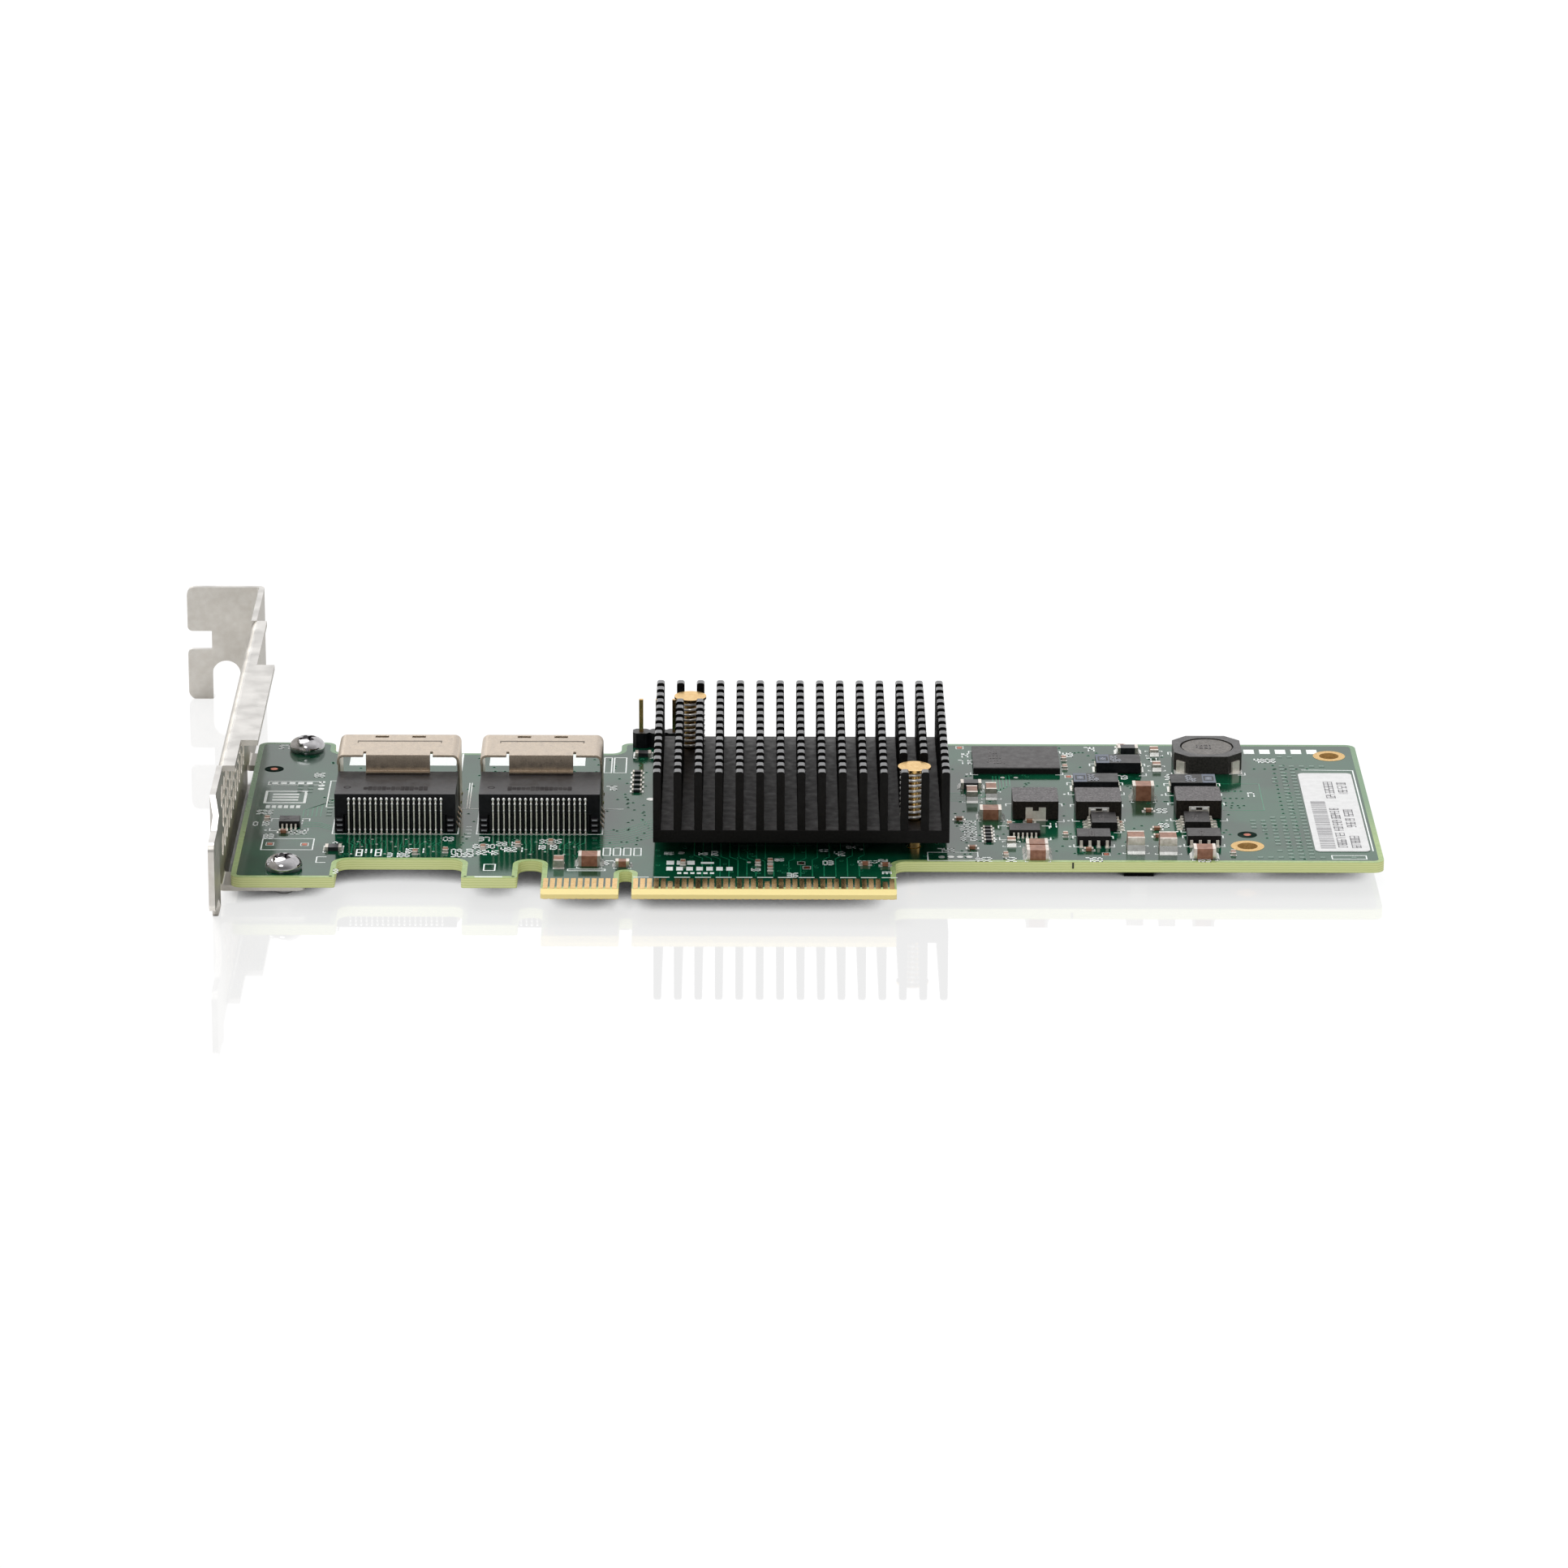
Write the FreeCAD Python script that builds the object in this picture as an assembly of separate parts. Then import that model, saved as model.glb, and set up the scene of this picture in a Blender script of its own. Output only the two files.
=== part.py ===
import FreeCAD, Part
import math
import os
from FreeCAD import Vector

# A low-profile PCI Express x8 RAID controller card on a full-height slot bracket, in millimetres.
# Frame: origin at the centre of the edge connector's key notch, on the line of the connector's
# front edge, half-way through the board. +X runs along the card away from the bracket, +Y from the
# gold contacts to the card's back edge, +Z out of the component side.

# ---- Board ----
board_thickness = 1.57
board_height = 68.9              # contact edge to back edge
board_left = -57.15              # end beside the bracket
plain_end_length = 63.43         # from the heat sink to the far end
board_corner = 1.6               # outer corner radius
shoulder_y = 13.5                # front edge of the board beside the edge connector
left_tab_width = 15.05           # front tab that carries the front bracket screw
tab_front_y = 5.9
recess_y = 14.0                  # finger recess between the two front tabs
recess_corner = 1.8
second_tab_left = -23.8
second_tab_right = -15.7
connector_left = -12.15          # short side of the edge connector
connector_right = 39.15          # long side
key_width = 1.9
key_depth = 8.9
edge_bevel_length = 1.3
edge_bevel_depth = 0.47
cable_recess_left_inset = 11.75  # recess in the back edge behind the cable ports
cable_recess_right = -1.7
cable_recess_depth = 5.1
top = board_thickness / 2
bottom = -board_thickness / 2

# ---- Edge contacts ----
contact_pitch = 1.0
contact_width = 0.7
contact_length = 4.4
presence_length = 3.2
contact_foil = 0.05
short_side_contacts = 11
long_side_contacts = 38
first_contact = 1.5              # from the key's centre to the nearest contact
short_presence_contacts = {"component": (17, 31, 48), "solder": (1,)}

# ---- Bracket (one folded sheet) ----
sheet = 0.86
bend_inside = 0.4
board_gap = 1.45                 # board's left end to the bracket's inner face
bracket_width = 18.42
bracket_length = 120.02
below_board = 2.85               # board's underside to the bracket's lower long edge
tongue_tip_y = -14.36            # far end of the tongue, below the contact edge
screw_tab_length = 11.43
slot_width = 3.0
slot_depth = 3.8
slot_above_edge = 8.2            # bracket's lower edge to the slot
notch_width = 4.4
notch_height = 6.3
notch_inset = 3.8                # tab's outer end to the notch
tongue_width = 10.19
tongue_setback = 2.2             # component-side edge of the bracket to the tongue
tongue_length = 6.36
bracket_shoulder_y = 1.5
tongue_offset = 0.86             # joggle of the tongue towards the board
joggle_setback = 4.0
flange_start_y = 15.0            # stepped flange: narrow, wide, narrow
flange_wide_y = 27.0
flange_narrow_y = 64.0
flange_end_setback = 18.0        # flange's end to the screw tab
flange_reaches = (2.65, 5.15, 2.45)
lug_width = 6.0                  # lugs folded under the board
lug_reach = 12.3
lug_relief = 0.8
vent_across = 3.3
vent_pitch = 4.2
vent_rows = 3
vent_columns = 11
vent_first_y = 12.5
vent_first_z = 2.9               # component surface to the first row

# ---- Bracket screws ----
screw_inset = 7.5                # board's left end to the screws
front_screw_y = 9.9
rear_screw_inset = 3.6
screw_head_diameter = 5.4
screw_head_height = 2.1
screw_shank = 2.84
screw_clearance = 0.03           # radial, in the lug
board_hole_clearance = 0.18
screw_length = 3.5
recess_width = 0.6
recess_depth = 1.2

# ---- Cable ports ----
port_count = 2
port_inset = 22.87               # board's left end to the first port's centre
port_pitch = 21.24
cage_width = 18.1
cage_height = 8.8
cage_sheet = 0.35
cage_rear_y = 36.0
cage_mouth_y = 45.8
cage_corner = 1.0
cage_wall_setback = 2.1
cage_tab_width = 9.5
cage_tab_foot = 0.8
latch_slot = 2.0
latch_slot_length = 0.9
latch_slot_inset = 1.0
latch_slot_offset = 2.75
rear_slit = 0.42
rear_slit_length = 3.4
ground_pin_width = 1.1
ground_pin_places = (40.2, 44.2)
ground_pin_reach = 0.9              # how far soldered pins stand out below the board
port_body_width = 17.8
port_body_height = 6.0
port_body_front = 26.1
port_body_back = 36.8
port_recess_height = 2.8
port_recess_depth = 1.3
port_nose_width = 16.2
port_nose_end = 41.0
port_nose_low = 1.0
port_nose_high = 4.5
card_slot_width = 14.6
card_slot_height = 1.3
card_slot_depth = 5.0
port_contacts = 18
port_contact_pitch = 0.8
port_contact_width = 0.3
port_contact_sheet = 0.18
port_contact_exit = 5.3
port_contact_stand_off = 0.4
port_foot_y = 25.1

# ---- Heat sink ----
sink_left = 3.85
sink_front = 15.0
sink_width = 43.2
sink_length = 44.3
sink_seat = 2.3                  # component surface to the sink's underside
sink_base = 2.0
sink_height = 10.9               # underside to the fin tips
fin_columns = 15
fin_rows = 15
fin_thickness = 1.15
fin_length = 1.5

# ---- Push pins and springs ----
pin_head_diameter = 4.8
pin_head_thickness = 0.35
pin_head_drop = 0.8              # fin tips to the top of the head
pin_collar_diameter = 2.4
pin_collar_length = 0.9
pin_shaft = 1.8
pin_hole_clearance = 0.2
pin_barb = 2.5
pin_tip_length = 2.0
spring_outside = 4.4
spring_wire = 0.42
spring_turns = 8
spring_steps = 8                 # flats in one turn of the coil

# ---- Chips under and beside the sink ----
controller_size = 25.0
controller_substrate = 1.0
controller_mould = 21.0
thermal_pad_thickness = 0.33
thermal_pad_size = 20.0
memory_length = 13.1
memory_width = 10.6
memory_height = 1.0

# ---- Pin header ----
header_pins = 4
header_pitch = 2.54
header_body = 2.4
header_notch = 0.5
header_pin = 0.64
header_pin_top = 7.5
header_tail = 1.6
header_left = 0.0
header_setback = 0.1             # insulator to the board's back edge

# ---- Soldered parts ----
end_cap = 0.45                   # metal end of a chip part
case_sizes = {                   # length, width, height
    "tall": (3.2, 2.5, 2.4), "large": (3.2, 2.5, 1.6), "medium": (3.2, 1.6, 1.6),
    "medium_flat": (3.1, 1.8, 1.0), "array": (2.4, 1.6, 0.6), "small": (2.0, 1.25, 0.9),
}
inductor_size = 6.75
inductor_height = 2.9
inductor_clip_width = 3.0
inductor_clip_sheet = 0.15
inductor_clip_height = 2.0
inductor_notch_width = 0.9
inductor_notch_depth = 0.55
inductor_stand_off = 0.1
inductor_corner = 0.25
drum_frame_width = 10.25
drum_frame_height = 2.8
drum_frame_corner = 2.2
drum_diameter = 7.6
drum_gap = 0.25
drum_depth = 0.5
tantalum_length = 7.1
tantalum_width = 4.1
tantalum_height = 1.8
underside_length = 7.3
underside_width = 4.3
tantalum_lead_width = 2.4
tantalum_foot = 1.2
so8_length = 4.9
so8_width = 3.9
so8_height = 1.45
so8_pitch = 1.27
so8_lead = 0.42
small_chip_height = 1.0
small_chip_pitch = 0.65
small_chip_lead = 0.25
regulator_length = 4.5
regulator_width = 3.4
regulator_leads_per_side = 6
logic_chip_length = 3.0
logic_chip_width = 2.9
logic_chip_leads_per_side = 4
lead_sheet = 0.18
lead_reach = 1.0
lead_slope = 0.15                # run of a gull lead's slanted part
package_stand_off = 0.1
package_draft = 0.12
label_width = 8.05
label_length = 36.4
label_thickness = 0.12
label_corner = 0.8
hole_diameter = 3.2

# ---- Places of soldered parts ----
# Each starts with x from the heat sink's right side, then the line that y is measured from:
# the contact edge ("front"), the board's mid-height ("middle") or its back edge ("back").
front_hole_place = (43.9, "front", 20.8)
back_hole_place = (59.13, "back", 5.6)
memory_place = (11.2, "back", 9.3)
transistor_places = (            # and its quarter turns
    (23.2, "front", 29.7, 0), (21.4, "front", 22.7, 1),
    (37.0, "front", 30.1, 0), (37.6, "front", 23.0, 1),
)
regulator_place = (11.4, "front", 26.6)
power_inductor_places = ((13.25, "front", 35.9), (22.6, "front", 35.9), (37.5, "front", 36.5))
drum_inductor_place = (40.2, "back", 9.4)
tantalum_places = ((26.6, "back", 12.5), (22.8, "middle", 12.85), (37.4, "middle", 12.55))
underside_places = ((28.0, "front", 23.4), (48.0, "back", 10.9))
ceramic_places = (               # and its case, and whether it stands along Y
    (29.7, "middle", 8.35, "tall", False), (6.6, "front", 33.8, "large", False),
    (12.9, "front", 15.4, "large", False), (12.9, "front", 18.3, "large", False),
    (37.3, "front", 16.1, "large", False), (27.4, "front", 19.1, "tall", True),
    (32.1, "front", 18.8, "tall", True), (4.1, "middle", 8.05, "medium", True),
    (7.0, "middle", 9.55, "medium", True), (9.3, "front", 21.5, "small", True),
    (32.5, "back", 11.8, "small", True), (32.5, "back", 4.5, "small", True),
    (-52.4, "front", 12.3, "large", False), (-47.6, "front", 11.4, "small", False),
)
resistor_places = (
    (4.1, "middle", 13.45, "medium_flat", False), (28.5, "back", 3.9, "medium_flat", False),
    (-45.4, "back", 5.9, "array", False),
)
logic_chip_place = (7.1, 29.6)   # x from the board's left end, y from the contact edge
array_place = (14.2, 18.5)
label_end_gap = 5.7              # label's middle to the board's far end
label_rise = 2.05                # label's middle above the board's mid-height

# ---- Values worked out from the sizes above ----
sink_right = sink_left + sink_width
board_right = sink_right + plain_end_length
bracket_inner = board_left - board_gap
bracket_outer = bracket_inner - sheet
bracket_low = bottom - below_board
bracket_high = bracket_low + bracket_width
bend_outside = bend_inside + sheet
screw_tab_y = tongue_tip_y + bracket_length - sheet
tongue_root_y = tongue_tip_y + tongue_length
joggle_end_y = tongue_root_y + joggle_setback
flange_end_y = screw_tab_y - flange_end_setback
screw_x = board_left + screw_inset
rear_screw_y = board_height - rear_screw_inset
port_places = [board_left + port_inset + n * port_pitch for n in range(port_count)]
sink_under = top + sink_seat
sink_floor = sink_under + sink_base
sink_tips = sink_under + sink_height
column_pitch = (sink_width - fin_thickness) / (fin_columns - 1)
row_pitch = (sink_length - fin_length) / (fin_rows - 1)
pin_x_inset = fin_thickness / 2 + 1.5 * column_pitch
pin_y_inset = fin_length / 2 + 1.5 * row_pitch
push_pin_places = {
    "left": (sink_left + pin_x_inset, sink_front + sink_length - pin_y_inset),
    "right": (sink_right - pin_x_inset, sink_front + pin_y_inset),
}
header_y = board_height - header_body / 2 - header_setback


def board_place(x, edge, distance):
    """The x and y of a part from its entry in the places above."""
    heights = {"front": distance, "middle": board_height / 2 + distance,
               "back": board_height - distance}
    return sink_right + x, heights[edge]


# ---- Helpers ----
def box(x0, x1, y0, y1, z0, z1):
    return Part.makeBox(x1 - x0, y1 - y0, z1 - z0, Vector(x0, y0, z0))


def block(x, y, length, width, z0, z1):
    """A block centred on x, y."""
    return box(x - length / 2, x + length / 2, y - width / 2, y + width / 2, z0, z1)


def rod(x, y, diameter, z0, z1):
    return Part.makeCylinder(diameter / 2, z1 - z0, Vector(x, y, z0))


def rounded_wire(corners):
    """A closed outline of straight runs whose corners (point, radius) become tangent arcs."""
    runs = []
    for index, (corner, radius) in enumerate(corners):
        before = (corners[index - 1][0] - corner).normalize()
        after = (corners[(index + 1) % len(corners)][0] - corner).normalize()
        half_angle = before.getAngle(after) / 2
        reach = radius / math.tan(half_angle)
        middle = corner + (before + after).normalize() * (radius / math.sin(half_angle) - radius) \
            if radius else corner
        runs.append((corner + before * reach, middle, corner + after * reach, radius))
    edges = []
    for index, (start, middle, end, radius) in enumerate(runs):
        if radius:
            edges.append(Part.Arc(start, middle, end).toShape())
        following = runs[(index + 1) % len(runs)][0]
        if end.distanceToPoint(following) > 1e-6:
            edges.append(Part.LineSegment(end, following).toShape())
    return Part.Wire(edges)


def prism_z(corners, z0, z1):
    """Outline of (x, y, radius) corners, raised from z0 to z1."""
    wire = rounded_wire([(Vector(x, y, z0), radius) for x, y, radius in corners])
    return Part.Face(wire).extrude(Vector(0, 0, z1 - z0))


def prism_x(corners, x0, x1):
    """Outline of (y, z, radius) corners, run from x0 to x1."""
    wire = rounded_wire([(Vector(x0, y, z), radius) for y, z, radius in corners])
    return Part.Face(wire).extrude(Vector(x1 - x0, 0, 0))


def prism_y(corners, y0, y1):
    """Outline of (x, z, radius) corners, run from y0 to y1."""
    wire = rounded_wire([(Vector(x, y0, z), radius) for x, z, radius in corners])
    return Part.Face(wire).extrude(Vector(0, y1 - y0, 0))


def fuse_all(solids):
    return solids[0].multiFuse(solids[1:]).removeSplitter()


def turned(shape, x, y, quarter_turns):
    """A shape built about the origin, turned about Z and set down at x, y."""
    placed = shape.copy()
    placed.rotate(Vector(0, 0, 0), Vector(0, 0, 1), 90 * quarter_turns)
    placed.translate(Vector(x, y, 0))
    return placed


nodes = {}


def add(name, shapes):
    nodes[name] = shapes if isinstance(shapes, list) else [shapes]


# ---- Board ----
def board_outline():
    """Corners of the board, counter-clockwise from the edge connector's key."""
    half_key = key_width / 2
    key_round = half_key * 0.98
    cable_left = board_left + cable_recess_left_inset
    cable_y = board_height - cable_recess_depth
    left_tab_end = board_left + left_tab_width
    return [
        (half_key, 0, 0), (connector_right, 0, 0.4), (connector_right, shoulder_y, board_corner),
        (board_right, shoulder_y, board_corner), (board_right, board_height, board_corner),
        (cable_recess_right, board_height, board_corner), (cable_recess_right, cable_y, board_corner),
        (cable_left, cable_y, board_corner), (cable_left, board_height, board_corner),
        (board_left, board_height, board_corner), (board_left, tab_front_y, board_corner),
        (left_tab_end, tab_front_y, 0.4), (left_tab_end, recess_y, recess_corner),
        (second_tab_left, recess_y, recess_corner), (second_tab_left, tab_front_y, 0.4),
        (second_tab_right, tab_front_y, 0.4), (second_tab_right, shoulder_y, board_corner),
        (connector_left, shoulder_y, board_corner), (connector_left, 0, 0.4),
        (-half_key, 0, 0), (-half_key, key_depth, key_round), (half_key, key_depth, key_round),
    ]


def edge_bevel(side):
    """Wedge that bevels the connector's leading edge on one face."""
    face = side * top
    wedge = [(0, face, 0), (edge_bevel_length, face, 0), (0, face - side * edge_bevel_depth, 0)]
    return prism_x(wedge, connector_left - 1, connector_right + 1)


def hole_places():
    """Plated holes at the far end: one beside the power stage, one in the back corner."""
    return [board_place(*front_hole_place), board_place(*back_hole_place)]


def ground_pin_sides():
    for port_x in port_places:
        for side in (-1, 1):
            for y in ground_pin_places:
                yield port_x + side * (cage_width - cage_sheet) / 2, y


def header_places():
    return [header_left + header_pitch * (n + 0.5) for n in range(header_pins)]


def make_board():
    low, high = bottom - 1, top + 1
    holes = [rod(screw_x, y, screw_shank + 2 * board_hole_clearance, low, high)
             for y in (front_screw_y, rear_screw_y)]
    holes += [rod(x, y, hole_diameter, low, high) for x, y in hole_places()]
    holes += [rod(x, y, pin_shaft + 2 * pin_hole_clearance, low, high)
              for x, y in push_pin_places.values()]
    slot_slack = 0.15
    holes += [block(x, y, cage_sheet + 2 * slot_slack, ground_pin_width + 2 * slot_slack, low, high)
              for x, y in ground_pin_sides()]
    holes += [block(x, header_y, header_pin + 2 * slot_slack, header_pin + 2 * slot_slack, low, high)
              for x in header_places()]
    board = prism_z(board_outline(), bottom, top)
    return board.cut(Part.makeCompound(holes + [edge_bevel(1), edge_bevel(-1)]))


# ---- Edge contacts ----
def contact_strip(x, side, length):
    start = edge_bevel_length
    z = sorted((side * top, side * (top + contact_foil)))
    return block(x, start + length / 2, contact_width, length, z[0], z[1])


def make_edge_contacts(face_name):
    """The row of gold contacts on one face; the presence contacts are shorter."""
    side = 1 if face_name == "component" else -1
    strips = []
    for place in range(1, short_side_contacts + long_side_contacts + 1):
        before_key = place <= short_side_contacts
        steps = short_side_contacts - place if before_key else place - short_side_contacts - 1
        x = (first_contact + steps * contact_pitch) * (-1 if before_key else 1)
        short = place in short_presence_contacts[face_name]
        strips.append(contact_strip(x, side, presence_length if short else contact_length))
    return strips


# ---- Bracket ----
def bend(centre_a, centre_b, first_angle, axis, start, end):
    """A quarter bend of the sheet about a fold line that runs along axis from start to end."""
    def at(radius, degrees):
        a = centre_a + radius * math.cos(math.radians(degrees))
        b = centre_b + radius * math.sin(math.radians(degrees))
        return Vector(a, b, start) if axis == "z" else Vector(a, start, b)

    last_angle = first_angle + 90
    middle = first_angle + 45
    outside = Part.Arc(at(bend_outside, first_angle), at(bend_outside, middle),
                       at(bend_outside, last_angle)).toShape()
    inside = Part.Arc(at(bend_inside, last_angle), at(bend_inside, middle),
                      at(bend_inside, first_angle)).toShape()
    ends = [Part.LineSegment(at(bend_outside, last_angle), at(bend_inside, last_angle)).toShape(),
            Part.LineSegment(at(bend_inside, first_angle), at(bend_outside, first_angle)).toShape()]
    face = Part.Face(Part.Wire([outside, ends[0], inside, ends[1]]))
    along = Vector(0, 0, end - start) if axis == "z" else Vector(0, end - start, 0)
    return face.extrude(along)


def bracket_face():
    """The long flat face with its tongue; its upper edge drops where the flange is folded."""
    tongue_high = bracket_high - tongue_setback
    tongue_low = tongue_high - tongue_width
    fold_z = bracket_high - bend_outside
    end_y = screw_tab_y - bend_inside
    corners = [
        (tongue_tip_y, tongue_low, 1.2), (tongue_root_y, tongue_low, 3.0),
        (bracket_shoulder_y, bracket_low, 1.5), (end_y, bracket_low, 0), (end_y, bracket_high, 0),
        (flange_end_y, bracket_high, 0), (flange_end_y, fold_z, 0), (flange_start_y, fold_z, 0),
        (flange_start_y, bracket_high, 0), (bracket_shoulder_y, bracket_high, 1.5),
        (tongue_root_y, tongue_high, 2.0), (tongue_tip_y, tongue_high, 1.2),
    ]
    outline = prism_x(corners, bracket_outer - 1, bracket_inner + tongue_offset + 1)
    return outline.common(bracket_sheet())


def bracket_sheet():
    """The sheet seen from above, with its tongue joggled towards the board."""
    start, end = tongue_tip_y - 1, screw_tab_y - bend_inside
    tongue_outer, tongue_inner = bracket_outer + tongue_offset, bracket_inner + tongue_offset
    return prism_z([
        (bracket_outer, end, 0), (bracket_outer, bracket_shoulder_y, 0), (tongue_outer, joggle_end_y, 0),
        (tongue_outer, start, 0), (tongue_inner, start, 0), (tongue_inner, joggle_end_y, 0),
        (bracket_inner, bracket_shoulder_y, 0), (bracket_inner, end, 0),
    ], bracket_low - 1, bracket_high + 1)


def bracket_screw_tab():
    """The folded end with its open screw slot and the round-topped notch beside it."""
    near = bracket_outer - bend_inside
    far = bracket_outer - screw_tab_length
    slot_low = bracket_low + slot_above_edge
    notch_left = far + notch_inset
    notch_top = bracket_low + notch_height
    round_top = notch_width / 2 * 0.99
    corners = [
        (near, bracket_low, 0), (near, bracket_high, 0), (far, bracket_high, 1.3),
        (far, slot_low + slot_width, 0.8), (far + slot_depth, slot_low + slot_width, 0),
        (far + slot_depth, slot_low, 0), (far, slot_low, 0.8), (far, bracket_low, 1.3),
        (notch_left, bracket_low, 0), (notch_left, notch_top, round_top),
        (notch_left + notch_width, notch_top, round_top), (notch_left + notch_width, bracket_low, 0),
    ]
    return prism_y(corners, screw_tab_y, screw_tab_y + sheet)


def bracket_flange():
    """Stepped stiffening flange folded inwards along the component-side edge."""
    fold = bend(bracket_inner + bend_inside, bracket_high - bend_outside, 90, "y",
                flange_start_y, flange_end_y)
    stops = (flange_start_y, flange_wide_y, flange_narrow_y, flange_end_y)
    strips = [fold]
    near = bracket_inner + bend_inside
    for from_y, to_y, reach in zip(stops, stops[1:], flange_reaches):
        strips.append(prism_z([(near, from_y, 0), (bracket_outer + reach, from_y, 0),
                               (bracket_outer + reach, to_y, 0), (near, to_y, 0)],
                              bracket_high - sheet, bracket_high))
    return strips


def lug_parts(y):
    """A lug folded from the solder-side edge, lying flat under the board with its screw hole."""
    start, end = y - lug_width / 2, y + lug_width / 2
    near = bracket_inner + bend_inside
    far = bracket_inner + lug_reach
    fold = bend(near, bottom + bend_inside, 180, "y", start, end)
    plate = prism_z([(near, start, 0), (far, start, 1.4), (far, end, 1.4), (near, end, 0)],
                    bottom - sheet, bottom)
    return fold, plate.cut(rod(screw_x, y, screw_shank + 2 * screw_clearance, bottom - 2, bottom + 1))


def lug_gap(y):
    """Clearance in the lower edge from which the lug is folded."""
    half = lug_width / 2 + lug_relief
    return box(bracket_outer - 1, bracket_inner + 0.1, y - half, y + half,
               bracket_low - 1, bottom + bend_inside)


def vent_holes():
    """Honeycomb of hexagonal vents between the two lugs."""
    radius = vent_across / math.sqrt(3)
    holes = []
    for row in range(vent_rows):
        z = top + vent_first_z + row * vent_pitch * math.sqrt(3) / 2
        for column in range(vent_columns):
            y = vent_first_y + (column + 0.5 * (row % 2)) * vent_pitch
            corners = [(y + radius * math.sin(math.radians(60 * k)),
                        z + radius * math.cos(math.radians(60 * k)), 0) for k in range(6)]
            holes.append(prism_x(corners, bracket_outer - 1, bracket_inner + 1))
    return Part.makeCompound(holes)


def make_bracket():
    face = bracket_face().cut(vent_holes())
    lugs = []
    for y in (front_screw_y, rear_screw_y):
        face = face.cut(lug_gap(y))
        lugs += lug_parts(y)
    tab_fold = bend(bracket_outer - bend_inside, screw_tab_y - bend_inside, 0, "z",
                    bracket_low, bracket_high)
    return fuse_all([face, tab_fold, bracket_screw_tab()] + bracket_flange() + lugs)


# ---- Bracket screws ----
def turned_profile(outline):
    """A turned solid from its (radius, z) outline; the axis closes it."""
    points = [Vector(radius, 0, z) for radius, z in outline]
    return Part.Face(Part.makePolygon(points + [points[0]])).revolve(Vector(), Vector(0, 0, 1), 360)


def make_screw(y):
    """Pan-head screw with a cross recess."""
    radius = screw_head_diameter / 2
    shank = screw_shank / 2
    tip, crown = top - screw_length, top + screw_head_height
    screw = turned_profile([
        (0, tip), (shank, tip), (shank, top), (radius, top), (radius, crown), (0, crown),
    ])
    arm = radius * 0.55
    floor = crown - recess_depth
    cross = block(0, 0, 2 * arm, recess_width, floor, crown + 1)
    cross = cross.fuse(block(0, 0, recess_width, 2 * arm, floor, crown + 1))
    return turned(screw.cut(cross), screw_x, y, 0)


# ---- Cable ports ----
def make_cage(x):
    """Folded shield: a round-cornered hood with latch slots, a rear hold-down tab and four pins."""
    half, roof = cage_width / 2, top + cage_height
    inner_corner = cage_corner - cage_sheet
    hood = prism_y([
        (x - half, top, 0), (x - half, roof, cage_corner), (x + half, roof, cage_corner),
        (x + half, top, 0), (x + half - cage_sheet, top, 0),
        (x + half - cage_sheet, roof - cage_sheet, inner_corner),
        (x - half + cage_sheet, roof - cage_sheet, inner_corner), (x - half + cage_sheet, top, 0),
    ], cage_rear_y, cage_mouth_y)
    rear_gap = box(x - half - 1, x + half + 1, cage_rear_y - 1, cage_rear_y + cage_wall_setback,
                   top - 1, roof - cage_corner - 0.5)
    slots = []
    for side in (-1, 1):
        slots.append(block(x + side * latch_slot_offset, cage_mouth_y - latch_slot_inset,
                           latch_slot, latch_slot_length, roof - 1, roof + 1))
        slots.append(block(x + side * (cage_tab_width + rear_slit) / 2, cage_rear_y,
                           rear_slit, rear_slit_length, roof - 1, roof + 1))
    hood = hood.cut(Part.makeCompound([rear_gap] + slots))
    body_top = top + port_body_height
    tab = box(x - cage_tab_width / 2, x + cage_tab_width / 2, cage_rear_y, cage_rear_y + cage_sheet,
              body_top, roof - cage_sheet)
    foot = box(x - cage_tab_width / 2, x + cage_tab_width / 2, cage_rear_y - cage_tab_foot,
               cage_rear_y + cage_sheet, body_top, body_top + cage_sheet)
    pins = [block(x + side * (half - cage_sheet / 2), y, cage_sheet, ground_pin_width,
                  bottom - ground_pin_reach, top) for side in (-1, 1) for y in ground_pin_places]
    return fuse_all([hood, tab, foot] + pins)


def port_side_profile():
    """Moulding seen from the side: the tall block that the tails come out of."""
    return [
        (port_body_front, top, 0), (port_body_front, top + port_body_height, 0.15),
        (port_body_back, top + port_body_height, 0.15), (port_body_back, top, 0),
    ]


def make_port_body(x):
    half = port_body_width / 2
    body = prism_x(port_side_profile(), x - half, x + half)
    contact_span = port_contacts * port_contact_pitch
    front_recess = box(x - contact_span / 2 - 0.4, x + contact_span / 2 + 0.4,
                       port_body_front - 1, port_body_front + port_recess_depth,
                       top - 1, top + port_recess_height)
    nose = box(x - port_nose_width / 2, x + port_nose_width / 2, port_body_back - 0.5, port_nose_end,
               top + port_nose_low, top + port_nose_high)
    middle = top + (port_nose_low + port_nose_high) / 2
    slot = box(x - card_slot_width / 2, x + card_slot_width / 2, port_nose_end - card_slot_depth,
               port_nose_end + 1, middle - card_slot_height / 2, middle + card_slot_height / 2)
    return body.cut(front_recess).fuse(nose).cut(slot).removeSplitter()


def port_tail(x):
    """One bent contact tail, from the moulding's front face down to its pad."""
    out = port_body_front - port_contact_stand_off
    exit_z = top + port_contact_exit
    foot_z = top + port_contact_sheet
    corners = [
        (port_body_front, exit_z, 0), (out, exit_z - port_contact_stand_off, 0), (out, foot_z, 0),
        (port_foot_y, foot_z, 0), (port_foot_y, top, 0), (out + port_contact_sheet, top, 0),
    ]
    return prism_x(corners, x - port_contact_width / 2, x + port_contact_width / 2)


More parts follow.
